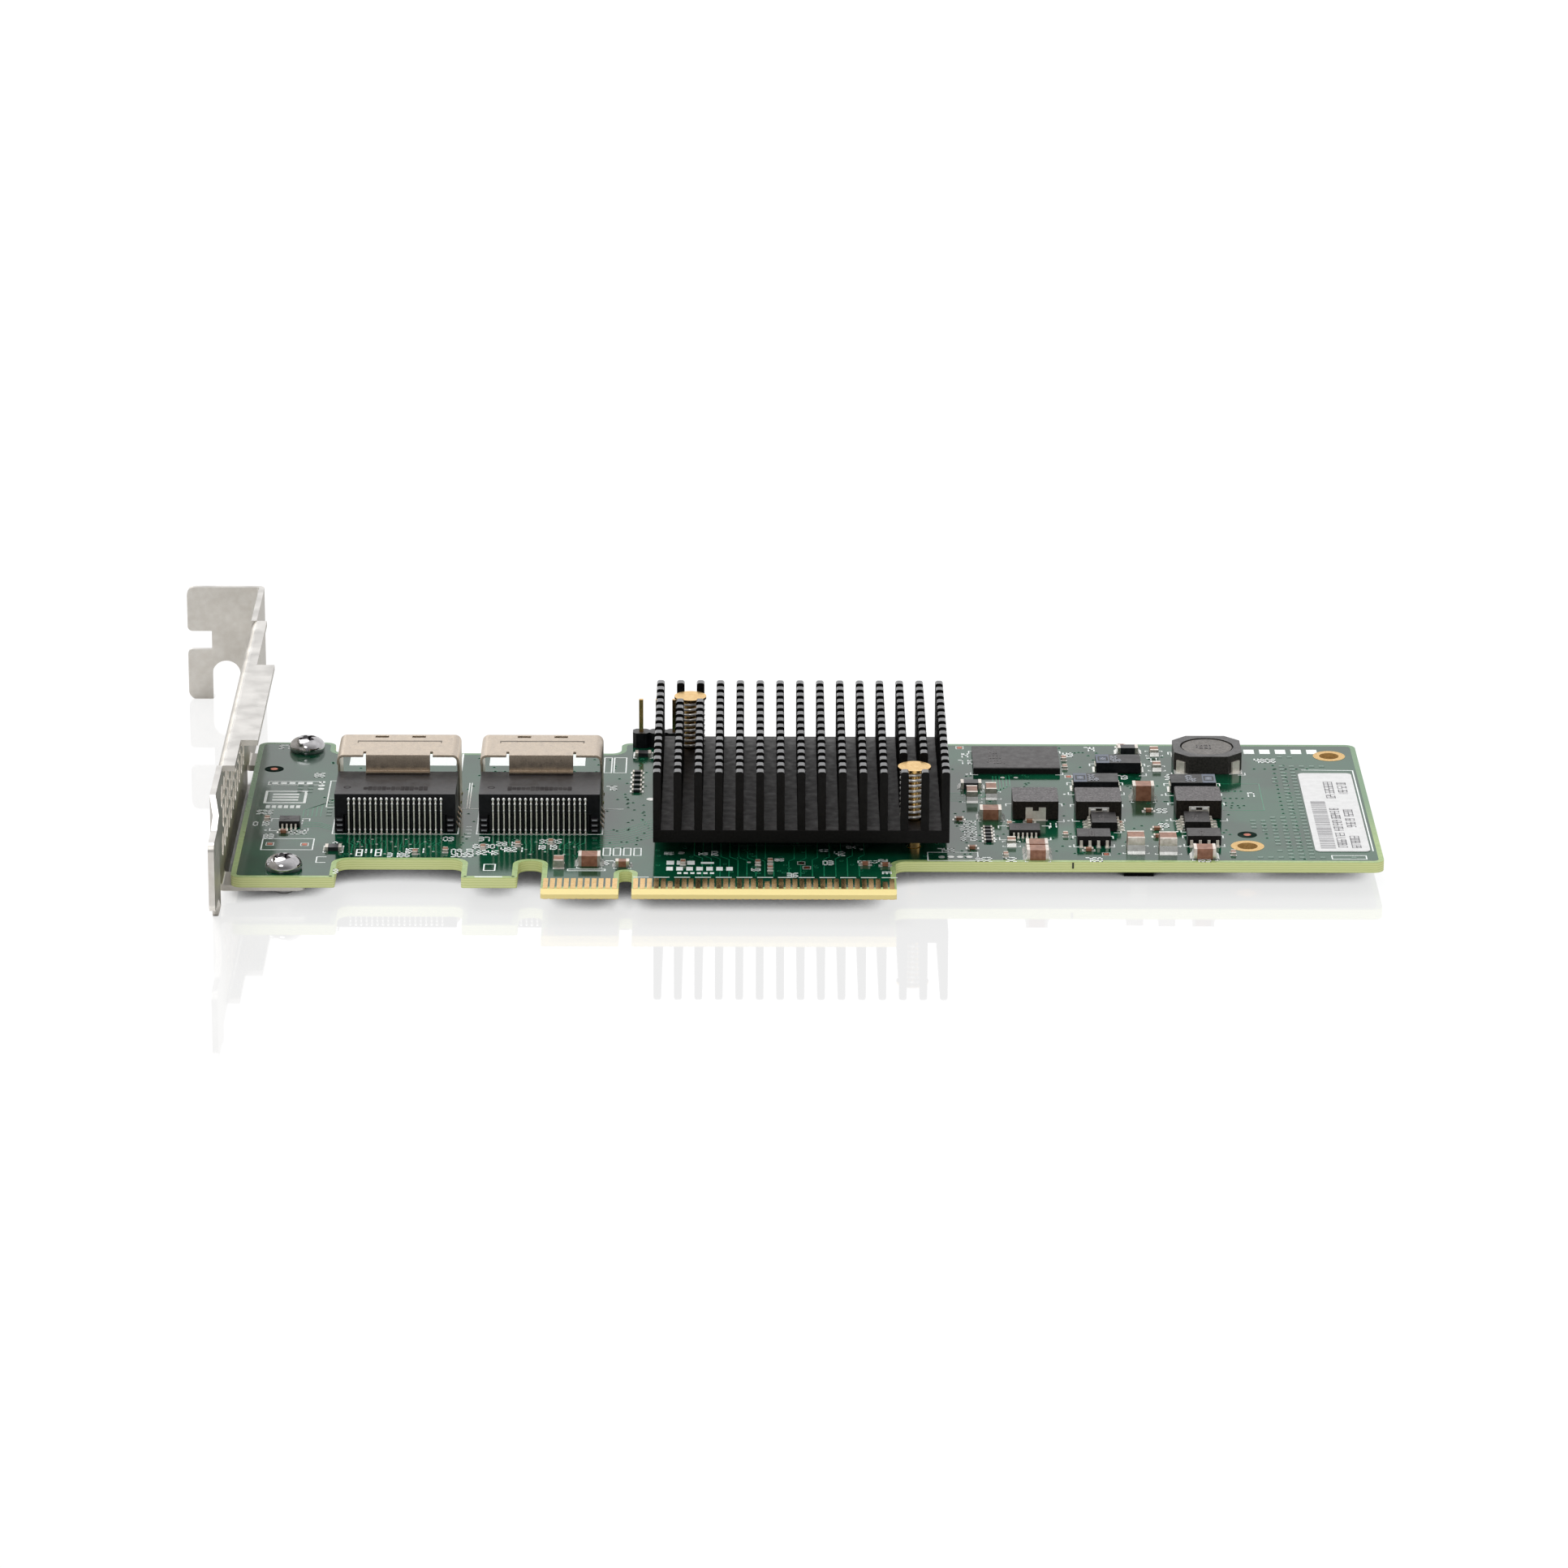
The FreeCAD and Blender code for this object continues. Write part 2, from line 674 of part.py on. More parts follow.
def port_blade(x):
    """The mating end of one contact, along the upper wall of the card slot."""
    wall = top + (port_nose_low + port_nose_high + card_slot_height) / 2
    half = port_contact_width / 2
    return box(x - half, x + half, port_nose_end - card_slot_depth, port_nose_end - 0.5,
               wall - port_contact_sheet, wall)


def make_port_contacts(x):
    pieces = []
    for number in range(port_contacts):
        place = x + (number - (port_contacts - 1) / 2) * port_contact_pitch
        pieces.append(port_tail(place))
        pieces.append(port_blade(place))
    return pieces


# ---- Heat sink ----
def make_heat_sink():
    """Extruded fin comb, sawn across into pins, with pins left out around each push pin."""
    right = sink_left + sink_width
    corners = [(sink_left, sink_under, 0), (right, sink_under, 0)]
    for column in reversed(range(fin_columns)):
        x0 = sink_left + column * column_pitch
        x1 = x0 + fin_thickness
        corners += [(x1, sink_floor, 0), (x1, sink_tips, 0), (x0, sink_tips, 0), (x0, sink_floor, 0)]
    corners = [corner for index, corner in enumerate(corners) if index not in (2, len(corners) - 1)]
    comb = prism_y(corners, sink_front, sink_front + sink_length)
    cuts = []
    for row in range(fin_rows - 1):
        y0 = sink_front + fin_length + row * row_pitch
        cuts.append(box(sink_left - 1, right + 1, y0, y0 + row_pitch - fin_length,
                        sink_floor, sink_tips + 1))
    for x, y in push_pin_places.values():
        cuts.append(block(x, y, 2 * column_pitch, 2 * row_pitch, sink_floor, sink_tips + 1))
        cuts.append(rod(x, y, pin_shaft + 2 * pin_hole_clearance, sink_under - 1, sink_floor + 1))
    return comb.cut(Part.makeCompound(cuts)).removeSplitter()


# ---- Push pins ----
def make_push_pin(x, y):
    """Turned brass pin: disc head, collar, shaft and the arrow barb that snaps below the board."""
    head_top = sink_tips - pin_head_drop
    head_under = head_top - pin_head_thickness
    barb_z = bottom - 0.1
    tip_z = barb_z - pin_tip_length
    shaft, collar, head = pin_shaft / 2, pin_collar_diameter / 2, pin_head_diameter / 2
    collar_z = head_under - pin_collar_length
    pin = turned_profile([
        (0, barb_z), (shaft, barb_z), (shaft, collar_z), (collar, collar_z), (collar, head_under),
        (head, head_under), (head, head_top), (0, head_top),
    ])
    half, blunt = pin_barb / 2, shaft * 0.5
    barb = prism_y([(-half, barb_z, 0), (-blunt, tip_z, 0), (blunt, tip_z, 0), (half, barb_z, 0)],
                   -blunt, blunt)
    return turned(pin.fuse(barb), x, y, 0)


def swept_shell(sections):
    """Closed solid through a row of like polygons, its sides split into flat triangles."""
    faces = []
    for before, after in zip(sections, sections[1:]):
        for k in range(len(before)):
            n = (k + 1) % len(before)
            for corners in ((before[k], before[n], after[n]), (before[k], after[n], after[k])):
                faces.append(Part.Face(Part.makePolygon(list(corners) + [corners[0]])))
    for end in (sections[0], sections[-1]):
        faces.append(Part.Face(Part.makePolygon(end + [end[0]])))
    solid = Part.Solid(Part.makeShell(faces))
    return solid if solid.Volume > 0 else solid.reversed()


def make_spring(x, y):
    """Coil spring between the sink's base and the push pin's head."""
    half = spring_wire / 2
    low = sink_floor + half
    high = sink_tips - pin_head_drop - pin_head_thickness - half
    radius = spring_outside / 2 - half
    steps = spring_turns * spring_steps
    sections = []
    for step in range(steps + 1):
        angle = 2 * math.pi * step / spring_steps
        z = low + (high - low) * step / steps
        ring = []
        for k in range(3):
            out = radius + half * math.cos(math.pi * 2 / 3 * k)
            rise = half * math.sin(math.pi * 2 / 3 * k)
            ring.append(Vector(x + out * math.cos(angle), y + out * math.sin(angle), z + rise))
        sections.append(ring)
    return swept_shell(sections)


# ---- Chips ----
def make_controller():
    x = sink_left + sink_width / 2
    y = sink_front + sink_length / 2
    mould_top = sink_under - thermal_pad_thickness
    substrate = block(x, y, controller_size, controller_size, top, top + controller_substrate)
    mould = block(x, y, controller_mould, controller_mould, top + controller_substrate, mould_top)
    add("controller_chip", fuse_all([substrate, mould]))
    add("thermal_pad", block(x, y, thermal_pad_size, thermal_pad_size, mould_top, sink_under))


def make_memory():
    x, y = board_place(*memory_place)
    chip = block(x, y, memory_length, memory_width, top, top + memory_height)
    upper = [edge for edge in chip.Edges if edge.BoundBox.ZMin > top + memory_height - 0.01]
    return chip.makeChamfer(0.12, upper)


# ---- Pin header ----
def make_header():
    """Four-way header: lobed insulator and square pins through the board."""
    lobes = []
    for x in header_places():
        half, depth, n = header_pitch / 2, header_body / 2, header_notch
        lobes.append(prism_z([(x - half + n, header_y - depth, 0), (x + half - n, header_y - depth, 0),
                              (x + half, header_y - depth + n, 0), (x + half, header_y + depth - n, 0),
                              (x + half - n, header_y + depth, 0), (x - half + n, header_y + depth, 0),
                              (x - half, header_y + depth - n, 0), (x - half, header_y - depth + n, 0)],
                             top, top + header_body))
    body = fuse_all(lobes)
    pins = [block(x, header_y, header_pin, header_pin, bottom - header_tail, top + header_pin_top)
            for x in header_places()]
    add("pin_header_body", body.cut(Part.makeCompound(pins)))
    add("pin_header_pins", pins)


# ---- Soldered parts ----
def chip_part(x, y, length, width, height, upright=False):
    """A two-ended chip part: ceramic body between two metal ends, lying along X (or Y)."""
    turns = 1 if upright else 0
    cap = min(end_cap, length / 4)
    body = block(0, 0, length - 2 * cap, width - 0.06, top, top + height - 0.03)
    ends = [block(side * (length - cap) / 2, 0, cap, width, top, top + height) for side in (-1, 1)]
    return turned(body, x, y, turns), [turned(end, x, y, turns) for end in ends]


def gull_lead(width, exit_height, reach):
    """Bent lead that leaves a body at x = 0 and runs to +x, down to its pad."""
    sheet_top = top + lead_sheet
    knee = reach * 0.35
    corners = [(0, top + exit_height, 0), (knee, top + exit_height, 0),
               (knee + lead_slope, sheet_top, 0), (reach, sheet_top, 0), (reach, top, 0),
               (knee - lead_slope / 3, top, 0)]
    return prism_y(corners, -width / 2, width / 2)


def chip_package(length, width, height):
    """Moulded package with drafted sides, parted half-way up, its long side along Y."""
    half, z0, z1, draft = width / 2, top + package_stand_off, top + height, package_draft
    middle = (z0 + z1) / 2
    return prism_y([(-half + draft, z0, 0), (half - draft, z0, 0), (half, middle, 0),
                    (half - draft, z1, 0), (-half + draft, z1, 0), (-half, middle, 0)],
                   -length / 2, length / 2)


def two_row_chip(x, y, turns, length, width, height, pitch, per_side, lead_width):
    """A leaded package: returns its body and its leads."""
    body = chip_package(length, width, height)
    exit_height = (height + package_stand_off) / 2 + lead_sheet / 2
    leads = []
    for side in (0, 2):
        for number in range(per_side):
            lead = gull_lead(lead_width, exit_height, lead_reach)
            lead.translate(Vector(width / 2, (number - (per_side - 1) / 2) * pitch, 0))
            leads.append(turned(turned(lead, 0, 0, side), x, y, turns))
    return turned(body, x, y, turns), leads


def make_transistors():
    """Four eight-lead switching transistors; two have their leads to the sides."""
    leads = []
    for number, (*place, turns) in enumerate(transistor_places):
        x, y = board_place(*place)
        body, own = two_row_chip(x, y, turns, so8_length, so8_width, so8_height, so8_pitch, 4, so8_lead)
        add("transistor_%d" % (number + 1), body)
        leads += own
    add("transistor_leads", leads)


def make_small_chips():
    x, y = board_place(*regulator_place)
    body, leads = two_row_chip(x, y, 1, regulator_length, regulator_width, small_chip_height,
                               small_chip_pitch, regulator_leads_per_side, small_chip_lead)
    add("regulator_chip", body)
    add("regulator_chip_leads", leads)
    x, y = board_left + logic_chip_place[0], logic_chip_place[1]
    body, leads = two_row_chip(x, y, 1, logic_chip_length, logic_chip_width, small_chip_height,
                               small_chip_pitch, logic_chip_leads_per_side, small_chip_lead)
    add("logic_chip", body)
    add("logic_chip_leads", leads)


def make_power_inductors():
    """Three moulded square inductors, each held by a metal clip folded up its front and back."""
    clips = []
    for number, place in enumerate(power_inductor_places):
        x, y = board_place(*place)
        body = block(x, y, inductor_size, inductor_size, top + inductor_stand_off,
                     top + inductor_height)
        upright = [e for e in body.Edges if e.BoundBox.ZLength > 1]
        add("power_inductor_%d" % (number + 1), body.makeChamfer(inductor_corner, upright))
        half = inductor_size / 2
        for side in (-1, 1):
            y0, y1 = sorted((y + side * half, y + side * (half + inductor_clip_sheet)))
            clip = box(x - inductor_clip_width / 2, x + inductor_clip_width / 2, y0, y1,
                       top, top + inductor_clip_height)
            notch = block(x, y + side * half, inductor_notch_width, 4 * inductor_clip_sheet,
                          top + inductor_clip_height - inductor_notch_depth,
                          top + inductor_clip_height + 1)
            clips.append(clip.cut(notch))
    add("power_inductor_clips", clips)


def make_drum_inductor():
    """Round drum core in an octagonal frame, with four corner terminals."""
    x, y = board_place(*drum_inductor_place)
    half, c = drum_frame_width / 2, drum_frame_corner
    high = top + drum_frame_height
    frame = prism_z([(x - half + c, y - half, 0), (x + half - c, y - half, 0), (x + half, y - half + c, 0),
                     (x + half, y + half - c, 0), (x + half - c, y + half, 0), (x - half + c, y + half, 0),
                     (x - half, y + half - c, 0), (x - half, y - half + c, 0)], top, high)
    well = rod(x, y, drum_diameter + 2 * drum_gap, high - drum_depth, high + 1)
    add("drum_inductor_frame", frame.cut(well))
    add("drum_inductor_core", rod(x, y, drum_diameter, high - drum_depth, high - 0.1))
    terminals = []
    for turns in range(4):
        offset = half - c / 2
        terminal = block(0, 0, 0.3, 1.6, top, top + drum_frame_height * 0.62)
        terminal.rotate(Vector(0, 0, 0), Vector(0, 0, 1), 45)
        terminal.translate(Vector(offset + 0.108, offset + 0.108, 0))
        terminals.append(turned(terminal, x, y, turns))
    add("drum_inductor_terminals", terminals)


def tantalum(x, y, turns, z0, length, width, height):
    """Moulded capacitor with a lead folded under each end, its foot at z0."""
    sign = 1 if z0 >= 0 else -1
    lift = sign * lead_sheet
    near, far = sorted((z0 + lift, z0 + sign * height))
    body = block(0, 0, length - 2 * lead_sheet, width, near, far)
    leads = []
    for side in (-1, 1):
        x1 = side * length / 2
        inner = side * (length / 2 - lead_sheet)
        foot = sorted((x1, x1 - side * tantalum_foot))
        wall = sorted((inner, x1))
        z_foot = sorted((z0, z0 + lift))
        z_wall = sorted((z0, z0 + sign * height * 0.55))
        lead = box(foot[0], foot[1], -tantalum_lead_width / 2, tantalum_lead_width / 2, *z_foot)
        leads.append(lead.fuse(box(wall[0], wall[1], -tantalum_lead_width / 2,
                                   tantalum_lead_width / 2, *z_wall)).removeSplitter())
    return turned(body, x, y, turns), [turned(lead, x, y, turns) for lead in leads]


def make_tantalums():
    """Three capacitors on the component side and two taller ones beneath, level with the bracket."""
    leads = []
    for number, place in enumerate(tantalum_places):
        x, y = board_place(*place)
        body, own = tantalum(x, y, 0, top, tantalum_length, tantalum_width, tantalum_height)
        add("tantalum_capacitor_%d" % (number + 1), body)
        leads += own
    for number, place in enumerate(underside_places):
        x, y = board_place(*place)
        body, own = tantalum(x, y, 1, bottom, underside_length, underside_width, below_board)
        add("underside_capacitor_%d" % (number + 1), body)
        leads += own
    add("tantalum_capacitor_leads", leads)


def place_chip_parts(name, places):
    """Each place is x, y, case size and whether the part stands along Y."""
    bodies, ends = [], []
    for x, y, case, upright in places:
        body, caps = chip_part(x, y, *case_sizes[case], upright)
        bodies.append(body)
        ends += caps
    add(name + "_bodies", bodies)
    add(name + "_ends", ends)


def make_chip_parts():
    """Brown ceramic capacitors, black resistors and two narrow resistor arrays."""
    place_chip_parts("ceramic_capacitor",
                     [board_place(*place[:3]) + place[3:] for place in ceramic_places])
    resistors = [board_place(*place[:3]) + place[3:] for place in resistor_places]
    resistors.append((board_left + array_place[0], array_place[1], "array", False))
    place_chip_parts("chip_resistor", resistors)


# ---- Flat pieces on the board ----
def make_label():
    x, y = board_right - label_end_gap, board_height / 2 + label_rise
    a, b = label_width / 2, label_length / 2
    return prism_z([(x - a, y - b, label_corner), (x + a, y - b, label_corner),
                    (x + a, y + b, label_corner), (x - a, y + b, label_corner)],
                   top, top + label_thickness)


# ---- Assembly ----
add("circuit_board", make_board())
add("edge_contacts_component_side", make_edge_contacts("component"))
add("edge_contacts_solder_side", make_edge_contacts("solder"))
add("bracket", make_bracket())
add("bracket_screw_front", make_screw(front_screw_y))
add("bracket_screw_rear", make_screw(rear_screw_y))
for number, port_x in enumerate(port_places):
    add("cable_port_%d_cage" % (number + 1), make_cage(port_x))
    add("cable_port_%d_body" % (number + 1), make_port_body(port_x))
    add("cable_port_%d_contacts" % (number + 1), make_port_contacts(port_x))
add("heat_sink", make_heat_sink())
for side, (pin_x, pin_y) in push_pin_places.items():
    add("push_pin_" + side, make_push_pin(pin_x, pin_y))
    add("push_pin_spring_" + side, make_spring(pin_x, pin_y))
make_controller()
add("memory_chip", make_memory())
make_header()
make_transistors()
make_small_chips()
make_power_inductors()
make_drum_inductor()
make_tantalums()
make_chip_parts()
add("label", make_label())

os.makedirs("parts", exist_ok=True)
for name, shapes in nodes.items():
    shape = shapes[0] if len(shapes) == 1 else Part.makeCompound(shapes)
    shape.exportStep("parts/%s.step" % name)
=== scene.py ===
import math
import random
from itertools import product

import bmesh
import bpy
from mathutils import Matrix, Vector
from mathutils.bvhtree import BVHTree


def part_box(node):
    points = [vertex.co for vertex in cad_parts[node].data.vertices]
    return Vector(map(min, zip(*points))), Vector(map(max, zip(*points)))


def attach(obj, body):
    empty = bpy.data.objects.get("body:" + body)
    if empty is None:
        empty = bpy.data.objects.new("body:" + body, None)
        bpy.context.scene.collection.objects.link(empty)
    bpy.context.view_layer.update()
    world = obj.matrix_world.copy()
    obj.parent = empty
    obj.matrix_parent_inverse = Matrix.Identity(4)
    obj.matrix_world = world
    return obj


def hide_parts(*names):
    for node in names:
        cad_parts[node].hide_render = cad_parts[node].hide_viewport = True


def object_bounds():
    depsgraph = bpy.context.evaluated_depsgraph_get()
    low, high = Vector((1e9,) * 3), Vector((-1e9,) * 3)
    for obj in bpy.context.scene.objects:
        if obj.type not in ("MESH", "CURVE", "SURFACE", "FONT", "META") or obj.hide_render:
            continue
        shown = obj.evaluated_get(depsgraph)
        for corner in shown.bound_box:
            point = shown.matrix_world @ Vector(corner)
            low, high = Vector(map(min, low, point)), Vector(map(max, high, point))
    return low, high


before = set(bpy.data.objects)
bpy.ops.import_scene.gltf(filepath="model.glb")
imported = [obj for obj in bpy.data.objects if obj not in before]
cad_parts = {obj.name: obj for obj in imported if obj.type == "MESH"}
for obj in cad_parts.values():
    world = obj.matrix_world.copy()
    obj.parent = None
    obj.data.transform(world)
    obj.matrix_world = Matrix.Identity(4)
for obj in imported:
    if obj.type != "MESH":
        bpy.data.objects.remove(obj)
cad_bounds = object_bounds()

MM = 0.001
random.seed(7)


# ---- Reading the frame (everything below works in millimetres) ----
def node_box(name):
    low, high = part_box(name)
    return [v / MM for v in low], [v / MM for v in high]


def islands(name):
    """The box of each separate solid in a node, as (low, high)."""
    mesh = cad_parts[name].data
    keys = [tuple(round(c / MM, 4) for c in vertex.co) for vertex in mesh.vertices]
    parent = {key: key for key in keys}

    def root(key):
        while parent[key] != key:
            parent[key] = parent[parent[key]]
            key = parent[key]
        return key

    for polygon in mesh.polygons:
        first = root(keys[polygon.vertices[0]])
        for index in polygon.vertices[1:]:
            parent[root(keys[index])] = first
    groups = {}
    for key in parent:
        groups.setdefault(root(key), []).append(key)
    return sorted(([min(axis) for axis in zip(*group)], [max(axis) for axis in zip(*group)])
                  for group in groups.values())


def centre(box):
    return [(a + b) / 2 for a, b in zip(*box)]


# ---- Shader nodes: each helper adds to a material or world and gives one output ----
def srgb(*values):
    """Linear colour from 0-255 display values."""
    return tuple(c / 12.92 if c <= 0.04045 else ((c + 0.055) / 1.055) ** 2.4
                 for c in (v / 255 for v in values)) + (1.0,)


def add_node(owner, kind, inputs=None, output=0, **settings):
    """Adds a node; each input is linked where an output is given, and set otherwise."""
    node = owner.node_tree.nodes.new("ShaderNode" + kind)
    for key, value in settings.items():
        setattr(node, key, value)
    for key, value in (inputs or {}).items():
        if isinstance(value, bpy.types.NodeSocket):
            owner.node_tree.links.new(value, node.inputs[key])
        else:
            node.inputs[key].default_value = value
    return node.outputs[output]


def place_in(owner, space="Object"):
    return add_node(owner, "TexCoord", output=space)


def component(owner, axis, vector=None):
    """One axis of a vector, or of the object's own place."""
    return add_node(owner, "SeparateXYZ", {0: vector or place_in(owner)}, axis)


def calculate(owner, operation, first, second=0.0):
    return add_node(owner, "Math", {0: first, 1: second}, operation=operation)


def ramp(owner, value, low, high, start=0.0, end=1.0):
    """Stretches a value so that low gives start and high gives end."""
    inputs = {"Value": value, "From Min": low, "From Max": high, "To Min": start, "To Max": end}
    return add_node(owner, "MapRange", inputs, "Result")


def mix(owner, factor, colour_a, colour_b):
    """Colour between two colours or colour outputs."""
    return add_node(owner, "Mix", {0: factor, 6: colour_a, 7: colour_b}, 2, data_type="RGBA")


def noise(owner, scale, detail=3.0):
    """Noise in the object's own metres; scale is in features per metre."""
    return add_node(owner, "TexNoise", {"Vector": place_in(owner), "Scale": scale, "Detail": detail}, "Fac")


def facing(owner, axis, threshold):
    """1 where the surface faces along the axis, either way, and 0 elsewhere."""
    normal = add_node(owner, "NewGeometry", output="True Normal")
    size = calculate(owner, "ABSOLUTE", component(owner, axis, normal))
    return calculate(owner, "GREATER_THAN", size, threshold)


# ---- Materials ----
def shader_of(material):
    return material.node_tree.nodes["Principled BSDF"]


def feed(material, name, output):
    """Links an output to one of the shader's own sockets."""
    material.node_tree.links.new(output, shader_of(material).inputs[name])


def new_material(name, colour, roughness, metallic=0.0, ior=1.5):
    material = bpy.data.materials.new(name)
    material.use_nodes = True
    for key, value in (("Base Color", colour), ("Roughness", roughness), ("Metallic", metallic),
                       ("IOR", ior)):
        shader_of(material).inputs[key].default_value = value
    return material


def add_bump(material, height, depth_mm, strength=1.0, edge_mm=0.0):
    """Bump from a height value, over edges softened by edge_mm."""
    inputs = {"Height": height, "Distance": depth_mm * MM, "Strength": strength}
    if edge_mm:
        inputs["Normal"] = add_node(material, "Bevel", {"Radius": edge_mm * MM}, samples=4)
    feed(material, "Normal", add_node(material, "Bump", inputs))


def speckled(name, colour, speck, roughness, scale, metallic=0.0, depth_mm=0.01, ior=1.5,
             spread=(0.35, 0.65), edge_mm=0.0, painted_side_shading=None):
    """Two mingled tones with a matching fine bump; the last argument gives the tones of painted shading for
    faces that don't look up, which also get a weaker specular.
    """
    material = new_material(name, srgb(*colour), roughness, metallic, ior)
    grain = noise(material, scale)
    share = ramp(material, grain, *spread)
    tone = mix(material, share, srgb(*colour), srgb(*speck))
    if painted_side_shading:
        # Painted shading: faces that don't look up take the other tones and a weaker specular.
        up = facing(material, "Z", 0.7)
        tone = mix(material, up, mix(material, share, *(srgb(*side) for side in painted_side_shading)), tone)
        feed(material, "Specular IOR Level", ramp(material, up, 0, 1, 0.22, 0.5))
    feed(material, "Base Color", tone)
    wear = ramp(material, noise(material, scale * 0.3), 0.3, 0.7, roughness * 0.8, roughness * 1.25)
    feed(material, "Roughness", wear)
    add_bump(material, grain, depth_mm, edge_mm=edge_mm)
    return material


def ink(name, colour, speck, roughness=0.5, scale=2400, ior=1.5):
    """Thin flat print."""
    return speckled(name, colour, speck, roughness, scale, depth_mm=0.001, ior=ior)


def tone_where(material, factor, colour):
    """Mixes a colour over the material's own by the factor."""
    old = shader_of(material).inputs["Base Color"].links[0].from_socket
    feed(material, "Base Color", mix(material, factor, old, srgb(*colour)))


def board_material():
    """Glossy green solder mask on the faces, bare pale laminate on the cut edges."""
    mask_roughness, laminate_roughness = 0.11, 0.6
    gilt_end, gilt_fade = 2.6, 3.0
    material = new_material("solder_mask", srgb(0, 64, 42), 0.12, ior=1.64)
    cloud = ramp(material, noise(material, 90, 2), 0.4, 0.62)
    mask = mix(material, cloud, srgb(0, 56, 36), srgb(4, 76, 50))
    layers = add_node(material, "TexWave", {"Vector": place_in(material), "Scale": 900, "Distortion": 1.5},
                      "Fac", bands_direction="Z")
    laminate = mix(material, layers, srgb(206, 216, 140), srgb(228, 234, 170))
    connector = ramp(material, component(material, "Y"), gilt_fade * MM, gilt_end * MM)
    cut_edge = mix(material, connector, laminate, srgb(246, 226, 150))
    up = facing(material, "Z", 0.97)
    feed(material, "Base Color", mix(material, up, cut_edge, mask))
    feed(material, "Roughness", ramp(material, up, 0, 1, laminate_roughness, mask_roughness))
    add_bump(material, noise(material, 2600, 2), 0.006, 0.5)
    return material


def banded(node, from_left):
    """Moulded case of a capacitor with a painted stripe across the top at one end."""
    stripe = 2.0
    low, high = node_box(node)
    # Painted shade: the case's faces that don't look up are darker.
    material = speckled("case_" + node, (20, 20, 24), (44, 42, 42), 0.42, 2200,
                        painted_side_shading=((12, 12, 16), (24, 24, 28)))
    test, limit = ("LESS_THAN", low[0] + stripe) if from_left else ("GREATER_THAN", high[0] - stripe)
    at_end = calculate(material, test, component(material, "X"), limit * MM)
    painted = calculate(material, "MULTIPLY", at_end, facing(material, "Z", 0.9))
    tone_where(material, painted, (86, 94, 110))
    return material


def bracket_material():
    """Nickel plate; its flat faces stay flat to the light, and two of its faces carry painted shade, a little
    darker.
    """
    material = speckled("bracket_nickel", (232, 227, 219), (240, 236, 229), 0.38, 900, 1.0, 0.002)
    flat = add_node(material, "NewGeometry", output="True Normal")
    material.node_tree.links.new(flat, material.node_tree.nodes["Bump"].inputs["Normal"])
    # Painted shade: faces along X and faces looking up are made a little darker.
    tone_where(material, facing(material, "X", 0.7), (214, 211, 204))
    tone_where(material, facing(material, "Z", 0.95), (207, 205, 202))
    shader_of(material).inputs["Specular Tint"].default_value = (0.66, 0.65, 0.64, 1)
    return material


def rim_material():
    """Bare laminate under the mask's edge, darker towards the back of the card."""
    front, back = 22, 42
    material = speckled("laminate_rim", (150, 176, 112), (168, 190, 126), 0.3, 1500, depth_mm=0.002)
    share = ramp(material, component(material, "Y"), front * MM, back * MM)
    tone_where(material, share, (112, 146, 110))
    return material


# Metals: two tones, roughness, specks per metre, metallic and depth of the bump
bright_steel = speckled("bright_plate", (176, 174, 176), (196, 194, 196), 0.09, 1200, 1.0, 0.001)
# Painted light: the shield's faces that don't look up are lighter and less glossy.
shield = speckled("port_shield", (182, 168, 152), (200, 186, 170), 0.34, 4200, 1.0, 0.003,
                  spread=(0.3, 0.7), edge_mm=0.08, painted_side_shading=((200, 184, 164), (222, 206, 186)))
tail_tin = speckled("tail_plating", (232, 228, 216), (244, 240, 230), 0.45, 1500, 0.6, 0.002)
# Painted highlight: a brighter copy of the tin for the tails' bends and the clips' lips.
bend_highlight_tin = speckled("painted_bend_highlights", (236, 236, 234), (246, 246, 244), 0.3, 1500, 0.5, 0.002)
clip_tin = speckled("clip_plating", (216, 210, 198), (234, 229, 218), 0.36, 1500, 0.4, 0.003)
tin = speckled("tinned", (226, 222, 206), (240, 236, 224), 0.25, 1500, 1.0, 0.004)
solder = speckled("solder", (222, 222, 218), (240, 240, 236), 0.24, 1800, 0.55, 0.01)
silver = speckled("chip_ends", (212, 202, 192), (236, 228, 220), 0.34, 2200, 0.85, 0.012)
gold = speckled("gold", (236, 190, 120), (246, 206, 142), 0.2, 1500, 1.0, 0.003)
brass = speckled("brass", (232, 186, 112), (244, 204, 134), 0.22, 1600, 1.0, 0.003)
old_gold = speckled("plated_hole", (196, 158, 98), (222, 186, 124), 0.5, 3600, 0.35, 0.006)
spring_steel = speckled("spring_wire", (238, 236, 232), (248, 246, 242), 0.2, 1500, 0.6, 0.003)
# Painted highlight for the fronts of the mouldings' ribs.
rib_highlight_grey = speckled("rib_highlight_paint", (150, 150, 156), (176, 176, 182), 0.45, 1500, 0.4, 0.002)
# Painted highlight: light strips for the bend and edge of the shields' folded feet.
foot_highlight_paint = speckled("folded_foot_highlight", (214, 196, 172), (228, 212, 188), 0.4, 1500, 0.5, 0.002)
copper_red = speckled("bare_pad", (168, 84, 60), (196, 112, 84), 0.3, 1800, 1.0, 0.004)

